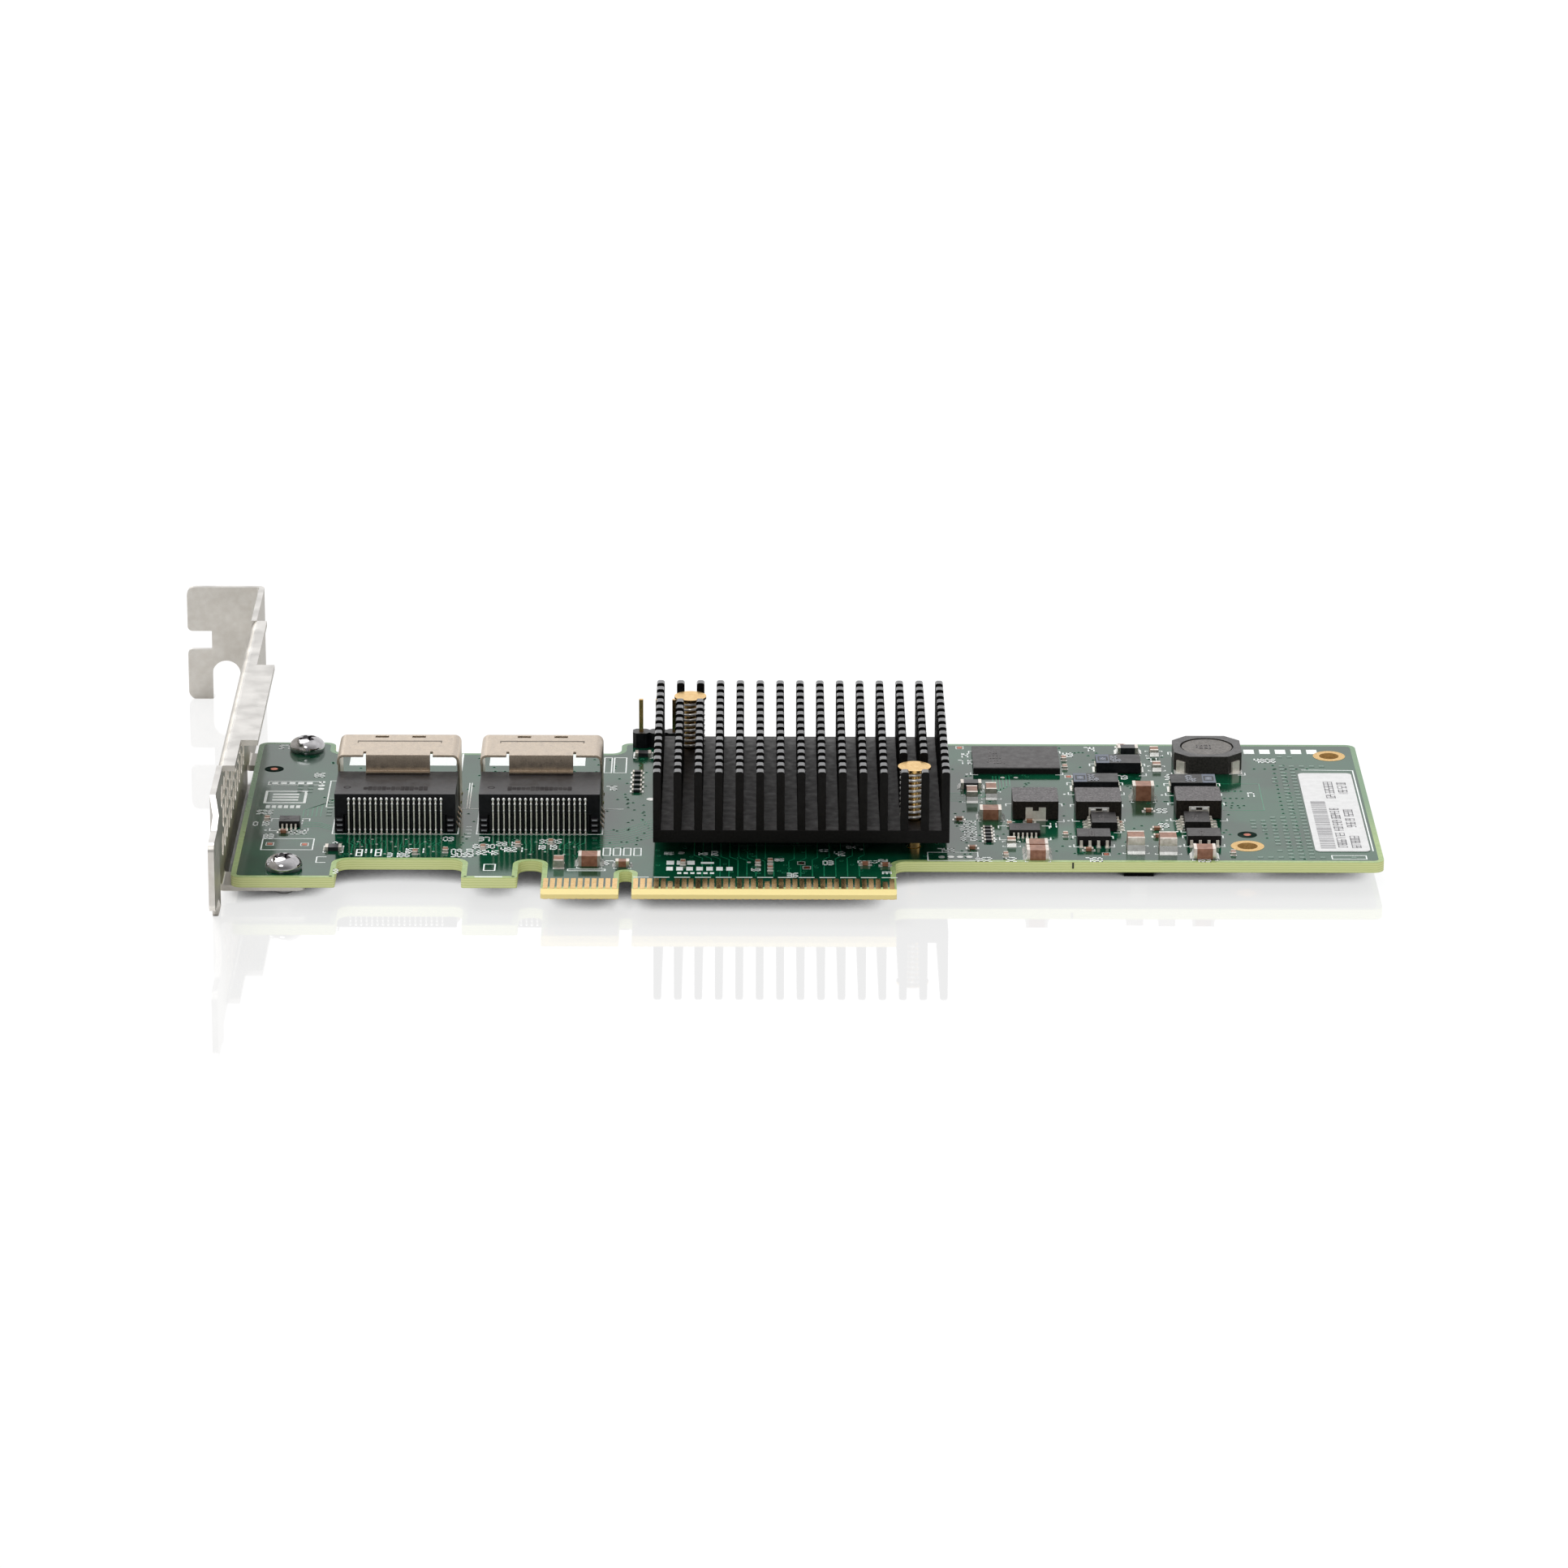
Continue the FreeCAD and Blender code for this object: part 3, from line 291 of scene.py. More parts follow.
# Mouldings, cases and cores: two tones, roughness and specks per metre; where a row gives two more tones,
# they are painted shade for faces that don't look up
near_black_side_shade = ((16, 15, 16), (28, 26, 26))
moulding = speckled("black_moulding", (28, 26, 29), (38, 36, 39), 0.38, 1500,
                    painted_side_shading=((14, 14, 17), (24, 24, 28)))
chip_case = speckled("chip_case", (40, 38, 39), (58, 55, 55), 0.42, 3200, depth_mm=0.012,
                     edge_mm=0.06, painted_side_shading=near_black_side_shade)
memory_case = speckled("memory_case", (34, 31, 31), (58, 54, 54), 0.44, 3000, depth_mm=0.012,
                       painted_side_shading=near_black_side_shade)
ferrite = speckled("ferrite", (46, 42, 42), (104, 98, 100), 0.42, 3600, depth_mm=0.02,
                   spread=(0.42, 0.66), edge_mm=0.12, painted_side_shading=((26, 22, 19), (44, 38, 32)))
drum_shell = speckled("drum_frame", (44, 43, 43), (74, 72, 72), 0.36, 3000, depth_mm=0.015,
                      edge_mm=0.15, painted_side_shading=((44, 42, 40), (62, 59, 56)))
drum_core = speckled("ground_ferrite", (78, 74, 70), (112, 107, 102), 0.45, 3000, depth_mm=0.015)
ceramic = speckled("ceramic", (130, 84, 60), (158, 110, 86), 0.36, 1400)
resistor_black = speckled("resistor_black", (24, 24, 27), (40, 40, 44), 0.3, 2400)
anodised = speckled("anodised", (30, 26, 26), (42, 38, 38), 0.48, 2600, depth_mm=0.008, ior=1.4,
                    painted_side_shading=((9, 8, 8), (17, 16, 15)))
# Painted highlight: a lighter, coated copy of the anodising for the pins' upward tops.
painted_tip_highlight = speckled("anodised_tips", (34, 34, 38), (60, 60, 66), 0.3, 1800)
shader_of(painted_tip_highlight).inputs["Coat Weight"].default_value = 0.6
thermal = speckled("thermal_pad", (150, 152, 158), (170, 172, 176), 0.6, 1500)
paper = speckled("label_film", (220, 220, 220), (228, 228, 228), 0.5, 900, depth_mm=0.002, ior=1.4)
# Painted shade, dark and matte, for the hollows on the mouldings' roofs.
hollow_shade_paint = speckled("moulding_recess_shade", (30, 26, 26), (42, 36, 36), 0.7, 1500, depth_mm=0.004, ior=1.3)
# Painted shade: flat brown bars where the shields' roof slits show their dark inside.
slit_shade_paint = speckled("slit_shade", (104, 94, 84), (122, 112, 100), 0.6, 1500, depth_mm=0.002)

# What lies on the board and on the parts: print, covered copper and rims
silk = speckled("board_print", (236, 242, 239), (248, 251, 250), 0.45, 2400, depth_mm=0.004)
trace_green = speckled("covered_trace", (22, 112, 78), (34, 126, 90), 0.12, 600, depth_mm=0.002, ior=1.55)
mask_rim = speckled("masked_rim", (34, 98, 62), (46, 112, 72), 0.14, 1500, depth_mm=0.002, ior=1.6)
bare_rim = rim_material()
# Painted shade in the vias' holes; the same dark tone rings the fiducials.
via_shade_and_fiducial_ring = speckled("via_centre", (10, 30, 24), (18, 40, 32), 0.8, 2000, ior=1.15)
label_ink = ink("label_ink", (122, 120, 124), (138, 136, 140), scale=1500)
chip_ink = ink("chip_ink", (96, 92, 92), (112, 108, 108))
light_ink = ink("case_ink", (150, 154, 164), (172, 176, 184))
# Painted shade and painted highlight for the fronts and backs of the copper squares.
dash_painted_shade = ink("dash_shade", (84, 104, 94), (98, 118, 108), 0.55, ior=1.3)
dash_highlight = ink("dash_painted_highlight", (160, 180, 170), (172, 192, 182))
black_ink = ink("black_mark", (22, 26, 22), (34, 38, 32))

NODE_LOOKS = (
    (board_material(), "circuit_board"),
    (gold, "edge_contacts header_pins"),
    (bright_steel, "bracket_screw"),
    (bracket_material(), "bracket"),
    (shield, "_cage"),
    (tin, "port_1_contacts port_2_contacts capacitor_leads"),
    (clip_tin, "transistor_leads chip_leads inductor_clips inductor_terminals"),
    (silver, "_ends"),
    (moulding, "port_1_body port_2_body header_body"),
    (anodised, "heat_sink"),
    (brass, "push_pin"),
    (thermal, "thermal_pad"),
    (memory_case, "memory_chip"),
    (chip_case, "controller_chip transistor regulator_chip logic_chip underside"),
    (drum_core, "drum_inductor_core"),
    (drum_shell, "drum_inductor_frame"),
    (ferrite, "inductor"),
    (ceramic, "capacitor_bodies"),
    (resistor_black, "resistor_bodies"),
    (paper, "label"),
)


def dress_frame():
    """Gives each CAD node its material, the first that has a key in the node's name."""
    for name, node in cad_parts.items():
        if name.startswith("tantalum_capacitor_") and name[-1].isdigit():
            chosen = banded(name, from_left=name[-1] in "12")
        else:
            chosen = next(look for look, keys in NODE_LOOKS if any(key in name for key in keys.split()))
        node.data.materials.clear()
        node.data.materials.append(chosen)
        for polygon in node.data.polygons:
            polygon.material_index = 0


dress_frame()


# ---- Mesh building ----
def arc(x, y, radius, angles, radius_y=None):
    """Points at the given degrees round a circle, or round an ellipse."""
    return [(x + radius * math.cos(math.radians(a)), y + (radius_y or radius) * math.sin(math.radians(a)))
            for a in angles]


def circle(x, y, radius, count, radius_y=None):
    return arc(x, y, radius, [360 * i / count for i in range(count)], radius_y)


def raised(outline, z):
    return [(x, y, z) for x, y in outline]


def grid(x, y, columns, rows, dx, dy):
    """Places in columns and rows; x, y is the first."""
    return [(x + dx * i, y + dy * j) for i in range(columns) for j in range(rows)]


def rounded_rectangle(x0, x1, y0, y1, radius, steps):
    outline = []
    for x, y, start in ((x1 - radius, y0 + radius, -90), (x1 - radius, y1 - radius, 0),
                        (x0 + radius, y1 - radius, 90), (x0 + radius, y0 + radius, 180)):
        outline += arc(x, y, radius, [start + 90 * i / steps for i in range(steps + 1)])
    return outline


def show(name, data):
    """A new object in the scene."""
    thing = bpy.data.objects.new(name, data)
    bpy.context.scene.collection.objects.link(thing)
    return thing


def face_outward(mesh):
    shape = bmesh.new()
    shape.from_mesh(mesh)
    bmesh.ops.recalc_face_normals(shape, faces=shape.faces)
    shape.to_mesh(mesh)
    shape.free()


def finish_piece(name, mesh, smooth=False, replaces=()):
    """Makes a mesh into a piece of the model that rides with the card."""
    face_outward(mesh)
    for polygon in mesh.polygons:
        polygon.use_smooth = smooth
    piece = show(name, mesh)
    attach(piece, "root")
    if replaces:
        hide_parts(*replaces)
    return piece


def mesh_of(thing):
    """The finished mesh of a curve or of an object with modifiers, which is then removed."""
    graph = bpy.context.evaluated_depsgraph_get()
    mesh = bpy.data.meshes.new_from_object(thing.evaluated_get(graph))
    bpy.data.objects.remove(thing)
    return mesh


class Sketch:
    """Collects vertices and faces for one piece."""

    def __init__(self):
        self.points = []
        self.faces = []

    def add(self, points, faces):
        start = len(self.points)
        self.points += [tuple(p) for p in points]
        self.faces += [tuple(start + i for i in face) for face in faces]

    def loft(self, rings, loop=False):
        """Joins rings of as many points each; the first and last are closed, or joined in a loop."""
        count, last = len(rings[0]), len(rings) - 1
        pairs = [(a, a + 1) for a in range(last)]
        if loop:
            pairs.append((last, 0))
        faces = [(a * count + i, a * count + (i + 1) % count, b * count + (i + 1) % count, b * count + i)
                 for a, b in pairs for i in range(count)]
        if not loop:
            faces += [tuple(reversed(range(count))), tuple(range(last * count, (last + 1) * count))]
        self.add([point for ring in rings for point in ring], faces)

    def prism(self, outline, z0, z1):
        """A flat outline of (x, y) points raised from z0 to z1."""
        self.loft([raised(outline, z0), raised(outline, z1)])

    def box(self, low, high):
        (x0, y0, z0), (x1, y1, z1) = low, high
        self.prism([(x0, y0), (x1, y0), (x1, y1), (x0, y1)], z0, z1)

    def disc(self, x, y, radius, z0, z1, segments):
        self.prism(circle(x, y, radius, segments), z0, z1)

    def turned(self, x, y, profile, segments):
        """A profile of (radius, z) pairs turned about an upright axis."""
        self.loft([raised(circle(x, y, radius, segments), z) for radius, z in profile])

    def washer(self, x, y, inner, outer, z0, z1, segments=24):
        profile = ((inner, z0), (outer, z0), (outer, z1), (inner, z1))
        self.loft([raised(circle(x, y, radius, segments), z) for radius, z in profile], loop=True)

    def soft_box(self, low, high, edge):
        """A box with every edge chamfered."""
        shape = bmesh.new()
        for pick in product((0, 1), repeat=3):
            for axis in range(3):
                shape.verts.new([(low, high)[pick[a]][a] + (0 if a == axis else edge * (1 - 2 * pick[a]))
                                 for a in range(3)])
        bmesh.ops.convex_hull(shape, input=shape.verts)
        shape.verts.index_update()
        self.add([v.co for v in shape.verts], [[v.index for v in face.verts] for face in shape.faces])
        shape.free()

    def track(self, route, width, z0, z1):
        """A strip of constant width along (x, y) points, mitred at its bends."""
        points = [Vector(point) for point in route]
        ways = [(b - a).normalized() for a, b in zip(points, points[1:])]
        rings = []
        for here, a, b in zip(points, ways[:1] + ways, ways + ways[-1:]):
            normal = Vector((-(a + b).y, (a + b).x)).normalized()
            side = normal * (width / 2 / max(0.4, normal.dot(Vector((-a.y, a.x)))))
            rings.append([(*(here + sign * side), z) for sign, z in ((1, z0), (-1, z0), (-1, z1), (1, z1))])
        self.loft(rings)

    def mesh(self, name):
        mesh = bpy.data.meshes.new(name)
        mesh.from_pydata([[c * MM for c in point] for point in self.points], [], self.faces)
        return mesh

    def piece(self, name, material, slot, smooth=False, replaces=()):
        mesh = self.mesh(name)
        mesh.validate()
        mesh.materials.append(material)
        return finish_piece(name, mesh, smooth, replaces)


board_low, board_high = node_box("circuit_board")
UNDER, TOP = board_low[2], board_high[2]
left_end, right_end, back_edge = board_low[0], board_high[0], board_high[1]
sink_low, sink_high = node_box("heat_sink")
sink_left, sink_right = sink_low[0], sink_high[0]


# ---- Heat sink ----
FIN_COLUMNS = 15
FIN_ROWS = 15
FIN_THICK = 1.15
FIN_LONG = 1.5
CROWN = 0.34                     # radius that rounds a pin's top
SINK_BASE = 2.0
PIN_HOLE = 1.1
column_pitch = (sink_right - sink_left - FIN_THICK) / (FIN_COLUMNS - 1)
row_pitch = (sink_high[1] - sink_low[1] - FIN_LONG) / (FIN_ROWS - 1)
push_pins = [centre(node_box("push_pin_" + side)) for side in ("left", "right")]


def fin(sketch, x, y):
    """One sawn pin, its top rounded across the fin."""
    half, shoulder = FIN_THICK / 2, sink_high[2] - CROWN
    floor = sink_low[2] + SINK_BASE
    profile = [(-half, floor), (half, floor)]
    profile += arc(half - CROWN, shoulder, CROWN, (0, 30, 60, 90))
    profile += arc(CROWN - half, shoulder, CROWN, (90, 120, 150, 180))
    sketch.loft([[(x + across, depth, z) for across, z in profile] for depth in (y, y + FIN_LONG)])


def near_push_pin(x, y):
    return any(abs(x - px) < column_pitch and abs(y - py) < row_pitch for px, py, _ in push_pins)


def base_plate():
    """Flat plate with a soft edge and a hole for each push pin."""
    edge = 0.12
    curve = bpy.data.curves.new("plate", "CURVE")
    curve.dimensions = "2D"
    curve.fill_mode = "BOTH"
    curve.extrude = (SINK_BASE / 2 - edge) * MM
    curve.bevel_depth = edge * MM
    curve.bevel_resolution = 1
    x0, x1, y0, y1 = sink_left + edge, sink_right - edge, sink_low[1] + edge, sink_high[1] - edge
    loops = [[(x0, y0), (x1, y0), (x1, y1), (x0, y1)]]
    loops += [circle(x, y, PIN_HOLE + edge, 32) for x, y, _ in push_pins]
    for loop in loops:
        spline = curve.splines.new("POLY")
        spline.points.add(len(loop) - 1)
        for point, (x, y) in zip(spline.points, loop):
            point.co = (x * MM, y * MM, 0, 1)
        spline.use_cyclic_u = True
    mesh = mesh_of(show("plate", curve))
    mesh.transform(Matrix.Translation((0, 0, (sink_low[2] + SINK_BASE / 2) * MM)))
    return mesh


def make_heat_sink():
    sketch = Sketch()
    for x, y in grid(sink_left + FIN_THICK / 2, sink_low[1], FIN_COLUMNS, FIN_ROWS, column_pitch, row_pitch):
        if not near_push_pin(x, y + FIN_LONG / 2):
            fin(sketch, x, y)
    whole = bmesh.new()
    whole.from_mesh(sketch.mesh("fins"))
    whole.from_mesh(base_plate())
    mesh = bpy.data.meshes.new("heat_sink_pins")
    whole.to_mesh(mesh)
    whole.free()
    for material in (anodised, painted_tip_highlight):
        mesh.materials.append(material)
    piece = finish_piece("heat_sink_pins", mesh, replaces=["heat_sink"])
    # The pins' upward tops take the painted highlight.
    for polygon in piece.data.polygons:
        is_tip = polygon.center.z > (sink_high[2] - 0.33) * MM and polygon.normal.z > 0.6
        polygon.material_index = 1 if is_tip else 0


make_heat_sink()


# ---- Push pin springs ----
def coil(sketch, x, y, z0, z1, radius, wire, turns, around=20):
    """Round wire wound into an open coil."""
    rings = []
    for step in range(turns * around + 1):
        angle = 2 * math.pi * step / around
        z = z0 + wire + (z1 - z0 - 2 * wire) * step / (turns * around)
        rings.append([(x + out * math.cos(angle), y + out * math.sin(angle), z + up)
                      for out, up in circle(radius, 0, wire, 8)])
    sketch.loft(rings)


def make_springs():
    wire, turns = 0.21, 9
    for side in ("left", "right"):
        low, high = node_box("push_pin_spring_" + side)
        x, y, _ = centre(node_box("push_pin_" + side))
        spring = Sketch()
        coil(spring, x, y, low[2], high[2], (high[0] - low[0]) / 2 - wire, wire, turns)
        spring.piece("coil_spring_" + side, spring_steel, "spring_steel", smooth=True,
                     replaces=["push_pin_spring_" + side])


make_springs()


# ---- Bracket screws ----
def cross_cutter(x, y, top_z):
    """Two tapered bars that cut the screw's cross recess."""
    sketch = Sketch()
    half_long, half_wide = 1.55, 0.42
    for angle in (35, 125):
        turn = Matrix.Rotation(math.radians(angle), 2)
        rings = []
        for z, taper in ((top_z + 1, 1.25), (top_z - 1.25, 0.6)):
            long = half_long * taper
            corners = ((-long, -half_wide), (long, -half_wide), (long, half_wide), (-long, half_wide))
            moved = [turn @ Vector(corner) for corner in corners]
            rings.append([(x + corner.x, y + corner.y, z) for corner in moved])
        sketch.loft(rings)
    return show("cutter", sketch.mesh("cutter"))


def make_screw(node):
    """Pan head with a domed top and a cross recess."""
    low, high = node_box(node)
    x, y, _ = centre((low, high))
    radius, shank, dome = (high[0] - low[0]) / 2, 1.42, 1.55
    profile = [(shank - 0.25, low[2]), (shank, low[2] + 0.3), (shank, TOP), (radius * 0.93, TOP),
               (radius * 0.985, TOP + 0.2)]
    profile += [(radius * across ** 0.8, high[2] - dome + dome * up)
                for across, up in arc(0, 0, 1, range(0, 84, 12))]
    sketch = Sketch()
    sketch.turned(x, y, profile, 40)
    body, cutter = show("head", sketch.mesh("head")), cross_cutter(x, y, high[2])
    face_outward(body.data)
    face_outward(cutter.data)
    cut = body.modifiers.new("recess", "BOOLEAN")
    cut.operation = "DIFFERENCE"
    cut.use_self = True
    cut.object = cutter
    bpy.context.view_layer.update()
    mesh = mesh_of(body)
    bpy.data.objects.remove(cutter)
    mesh.materials.clear()
    mesh.materials.append(bright_steel)
    head = finish_piece(node.replace("bracket_screw", "pan_head_screw"), mesh, smooth=True,
                        replaces=[node])
    head.data.set_sharp_from_angle(angle=math.radians(30))


for node in ("bracket_screw_front", "bracket_screw_rear"):
    make_screw(node)


# ---- Solder ----
def end_fillet(sketch, low, high, away):
    """A fillet outside a chip part's metal end, on the side that faces away from its body."""
    axis = 0 if abs(away[0]) > abs(away[1]) else 1
    sign = 1 if away[axis] > 0 else -1
    start = (high if sign > 0 else low)[axis]
    rise = (high[2] - low[2]) * 0.55
    reach = min(0.55, rise)
    overlap, margin = 0.02, 0.05
    rings = []
    for across in (low[1 - axis] - margin, high[1 - axis] + margin):
        ring = []
        for out, up in ((0, 0), (reach, 0), (reach * 0.45, rise * 0.3), (0, rise)):
            point = [across, across, TOP + up]
            point[axis] = start + sign * (out - overlap)
            ring.append(point)
        rings.append(ring)
    sketch.loft(rings)


def solder_joints():
    """Fillets outside every chip part's ends, and lands under leads and clips."""
    sketch = Sketch()
    for kind in ("ceramic_capacitor", "chip_resistor"):
        bodies = [centre(b) for b in islands(kind + "_bodies")]
        for low, high in islands(kind + "_ends"):
            x, y, _ = centre((low, high))
            body = min(bodies, key=lambda c: (c[0] - x) ** 2 + (c[1] - y) ** 2)
            end_fillet(sketch, low, high, (x - body[0], y - body[1]))
    port_foot, land = 0.9, 0.05
    for node, grow in (("transistor_leads", 0.12), ("regulator_chip_leads", 0.08), ("logic_chip_leads", 0.08),
                       ("power_inductor_clips", 0.3), ("drum_inductor_terminals", 0.35),
                       ("cable_port_1_contacts", 0.07), ("cable_port_2_contacts", 0.07)):
        for low, high in islands(node):
            if low[2] < TOP + 0.1:
                back = low[1] + port_foot if "port" in node else high[1]
                sketch.box((low[0] - grow, low[1] - grow, TOP), (high[0] + grow, back + grow, TOP + land))
    long, short, thick = 0.3, 0.1, 0.08
    for low, high in islands("tantalum_capacitor_leads"):
        dx, dy, z = (long, short, TOP) if low[2] > 0 else (short, long, UNDER - thick)
        sketch.box((low[0] - dx, low[1] - dy, z), (high[0] + dx, high[1] + dy, z + thick))
    sketch.piece("solder_joints", solder, "tinned_lead")


solder_joints()


def pin_fillets():
    """Solder cones round the pins that come out beneath the board."""
    sketch = Sketch()
    places = [(*centre(b)[:2], 0.32, 0.32) for b in islands("pin_header_pins")]
    for port in (1, 2):
        low, high = node_box("cable_port_%d_cage" % port)
        places += [(x, low[1] + depth, 0.2, 0.6) for x in (low[0] + 0.18, high[0] - 0.18)
                   for depth in (4.2, 8.2)]
    for x, y, half_x, half_y in places:
        sketch.loft([raised(circle(x, y, half_x + spread, 16, half_y + spread), UNDER - drop)
                     for spread, drop in ((0.5, 0), (0.375, 0.15), (0.075, 0.6))])
    sketch.piece("underside_solder", solder, "tinned_lead")


pin_fillets()


# ---- Tiny chip parts ----
# Length, width and height of the smallest parts
LOW_RESISTOR, RESISTOR = (1.4, 0.75, 0.4), (1.5, 0.8, 0.45)
CAPACITOR, TALL_CAPACITOR = (1.4, 0.75, 0.5), (2.4, 1.5, 1.3)
# Where the ceramic ones stand: x from the reference, y, and whether they lie along Y
RIGHT_CERAMICS = (
    (12.3, 31.5, False), (3.5, 19.4, False), (8.3, 16.2, True), (27.6, 67.4, False),
    (9.3, 30.2, True), (1.9, 32.5, False), (17.4, 25.4, True), (25.6, 30.4, True),
    (31.0, 24.8, False), (31.0, 28.2, False), (20.5, 18.6, False), (34.6, 50.2, True),
    (18.6, 57.2, True), (18.6, 61.4, True), (30.2, 36.6, False), (41.6, 17.2, True),
)
LEFT_CERAMICS = (
    (4.4, 12.4, True), (15.3, 12.4, True), (17.1, 9.9, True), (17.1, 13.0, True),
    (30.9, 12.0, False), (33.8, 11.6, False), (-24.95, 19.1, True), (-30.4, 17.7, True),
    (-34.8, 16.9, True), (-19.9, 20.5, True), (-15.1, 21.6, True),
)


def tiny_rows():
    """Each tiny part's material, place, size, and whether it lies along Y."""
    rows = [(resistor_black, *place, LOW_RESISTOR, False)
            for place in grid(sink_right + 6.0, 22.6, 1, 5, 0, 1.5)]
    rows += [(resistor_black, *place, RESISTOR, False) for place in grid(sink_left - 2.9, 45.4, 1, 5, 0, 2.2)]
    for reference, places in ((sink_right, RIGHT_CERAMICS), (sink_left, LEFT_CERAMICS),
                              (left_end, ((6.4, 26.0, False), (3.6, 32.0, True)))):
        rows += [(ceramic, reference + dx, y, CAPACITOR, upright) for dx, y, upright in places]
    rows.append((ceramic, sink_left - 13.65, 11.2, TALL_CAPACITOR, True))
    return rows


def tiny_parts():
    """The smallest resistors and capacitors, each a body with two ends and its solder."""
    end_long, skin, overlap, soft_edge = 0.3, 0.03, 0.05, 0.05
    solder_out, solder_wide, solder_high = 0.28, 0.08, 0.07
    bodies, ends, joints = {}, Sketch(), Sketch()
    for material, x, y, (length, width, height), upright in tiny_rows():
        def span(start, end, half):
            """Two corners of the part's stretch from start to end."""
            start, end = sorted((start, end))
            if upright:
                return (x - half, y + start), (x + half, y + end)
            return (x + start, y - half), (x + end, y + half)

        inner = length / 2 - end_long + overlap
        low, high = span(-inner, inner, width / 2 - skin)
        body = bodies.setdefault(material.name, (material, Sketch()))[1]
        body.box((*low, TOP + 0.04), (*high, TOP + height - 0.02))
        for side in (-1, 1):
            low, high = span(side * length / 2, side * (length / 2 - end_long), width / 2)
            ends.soft_box((*low, TOP + 0.02), (*high, TOP + height), soft_edge)
            low, high = span(side * (length / 2 + solder_out), side * (length / 2 - end_long),
                             width / 2 + solder_wide)
            joints.box((*low, TOP), (*high, TOP + solder_high))
    for name, (material, sketch) in bodies.items():
        sketch.piece("tiny_part_bodies_" + name, material, "capacitor_ceramic")
    ends.piece("tiny_part_ends", silver, "tinned_lead")
    joints.piece("tiny_part_joints", solder, "tinned_lead")


tiny_parts()


# ---- Marks on the board: print, pads, traces and vias ----
PRINT = 0.02                     # how far print stands above what carries it
BARS = {"a": (0, 1, 1, 1), "b": (1, 0.5, 1, 1), "c": (1, 0, 1, 0.5), "d": (0, 0, 1, 0),
        "e": (0, 0, 0, 0.5), "f": (0, 0.5, 0, 1), "g": (0, 0.5, 1, 0.5)}
DIGITS = ("abcdef", "bc", "abged", "abgcd", "fgbc", "afgcd", "afgedc", "abc", "abcdefg", "abcdfg")
FIGURE_WIDTH, FIGURE_PITCH = 0.34, 1.45          # a figure's width to its height, and pitch to its width


def plain_number(sketch, figures, x, y, height=1.7, turned=False, z=TOP, weight=0.12):
    """A number made of bars, its lower left corner at x, y; turned, it reads up the board."""
    width, stroke = height * FIGURE_WIDTH, height * weight
    for place, figure in enumerate(figures):
        shift = place * width * FIGURE_PITCH
        for key in DIGITS[int(figure)]:
            u0, v0, u1, v1 = BARS[key]
            a = (shift + u0 * width - stroke / 2, v0 * height - stroke * 0.75)
            b = (shift + u1 * width + stroke / 2, v1 * height + stroke * 0.75)
            if turned:
                a, b = (-b[1], a[0]), (-a[1], b[0])
            sketch.box((x + a[0], y + a[1], z), (x + b[0], y + b[1], z + PRINT))


def some_figures(count):
    return "".join(random.choice("0123456789") for _ in range(count))


def bar(sketch, x0, x1, y0, y1, z=TOP, rise=PRINT):
    sketch.box((x0, y0, z), (x1, y1, z + rise))


def line(sketch, route, width=0.2, rise=PRINT):
    sketch.track(route, width, TOP, TOP + rise)


def spot(sketch, x, y, radius, rise=PRINT, segments=10):
    sketch.disc(x, y, radius, TOP, TOP + rise, segments)


def rectangle(sketch, x0, x1, y0, y1, width=0.18, z=TOP):
    bar(sketch, x0, x1, y0, y0 + width, z)
    bar(sketch, x0, x1, y1 - width, y1, z)
    bar(sketch, x0, x0 + width, y0 + width, y1 - width, z)
    bar(sketch, x1 - width, x1, y0 + width, y1 - width, z)


def corner_marks(sketch, box, gap, reach=1.2, width=0.18):
    """Two short bars at each corner of a part."""
    low, high = box
    for x, turn_x in ((low[0] - gap, 1), (high[0] + gap, -1)):
        for y, turn_y in ((low[1] - gap, 1), (high[1] + gap, -1)):
            bar(sketch, *sorted((x, x + turn_x * reach)), *sorted((y, y + turn_y * width)))
            bar(sketch, *sorted((x, x + turn_x * width)), *sorted((y + turn_y * width, y + turn_y * reach)))


# Numbers beside the parts: x from the reference, y of the figures' foot, and how many figures
LEFT_NUMBERS = (
    (1.9, 34.8, 3), (1.7, 29.4, 3), (8.3, 30.2, 1), (7.5, 25.6, 3), (3.6, 23.7, 2), (14.0, 20.3, 1),
    (24.3, 17.3, 4), (22.3, 15.3, 4), (31.5, 17.1, 4), (31.6, 15.4, 4), (34.6, 19.3, 4), (35.2, 16.4, 4),
    (38.0, 20.4, 4), (38.7, 17.8, 4), (44.3, 21.6, 4), (43.7, 18.9, 4), (30.1, 22.6, 2), (35.4, 22.6, 2),
    (9.4, 52.3, 2), (3.2, 66.0, 2), (14.8, 8.0, 1),
)
RIGHT_NUMBERS = (
    (2.0, 30.5, 3), (2.0, 28.0, 3), (2.0, 25.7, 3), (2.0, 23.3, 3), (-1.5, 17.9, 3), (14.8, 29.5, 2),
    (3.9, 13.9, 3), (8.3, 13.9, 2), (20.0, 13.9, 3), (35.8, 13.9, 3), (31.5, 36.3, 2), (31.4, 29.6, 2),
    (26.4, 52.2, 2), (31.3, 60.6, 2), (2.6, 62.6, 2), (2.6, 59.4, 3), (18.6, 63.0, 2), (22.0, 65.8, 2),
    (31.2, 24.0, 2), (20.6, 38.6, 2), (12.0, 40.6, 2), (33.6, 52.0, 1), (45.0, 44.0, 2),
)
SINK_NUMBERS = ((24.8, 12.2, 2), (26.5, 16.3, 2), (19.6, 6.7, 2), (-7.0, 12.0, 2), (8.0, 16.4, 2),
                (-7.4, 46.4, 2))
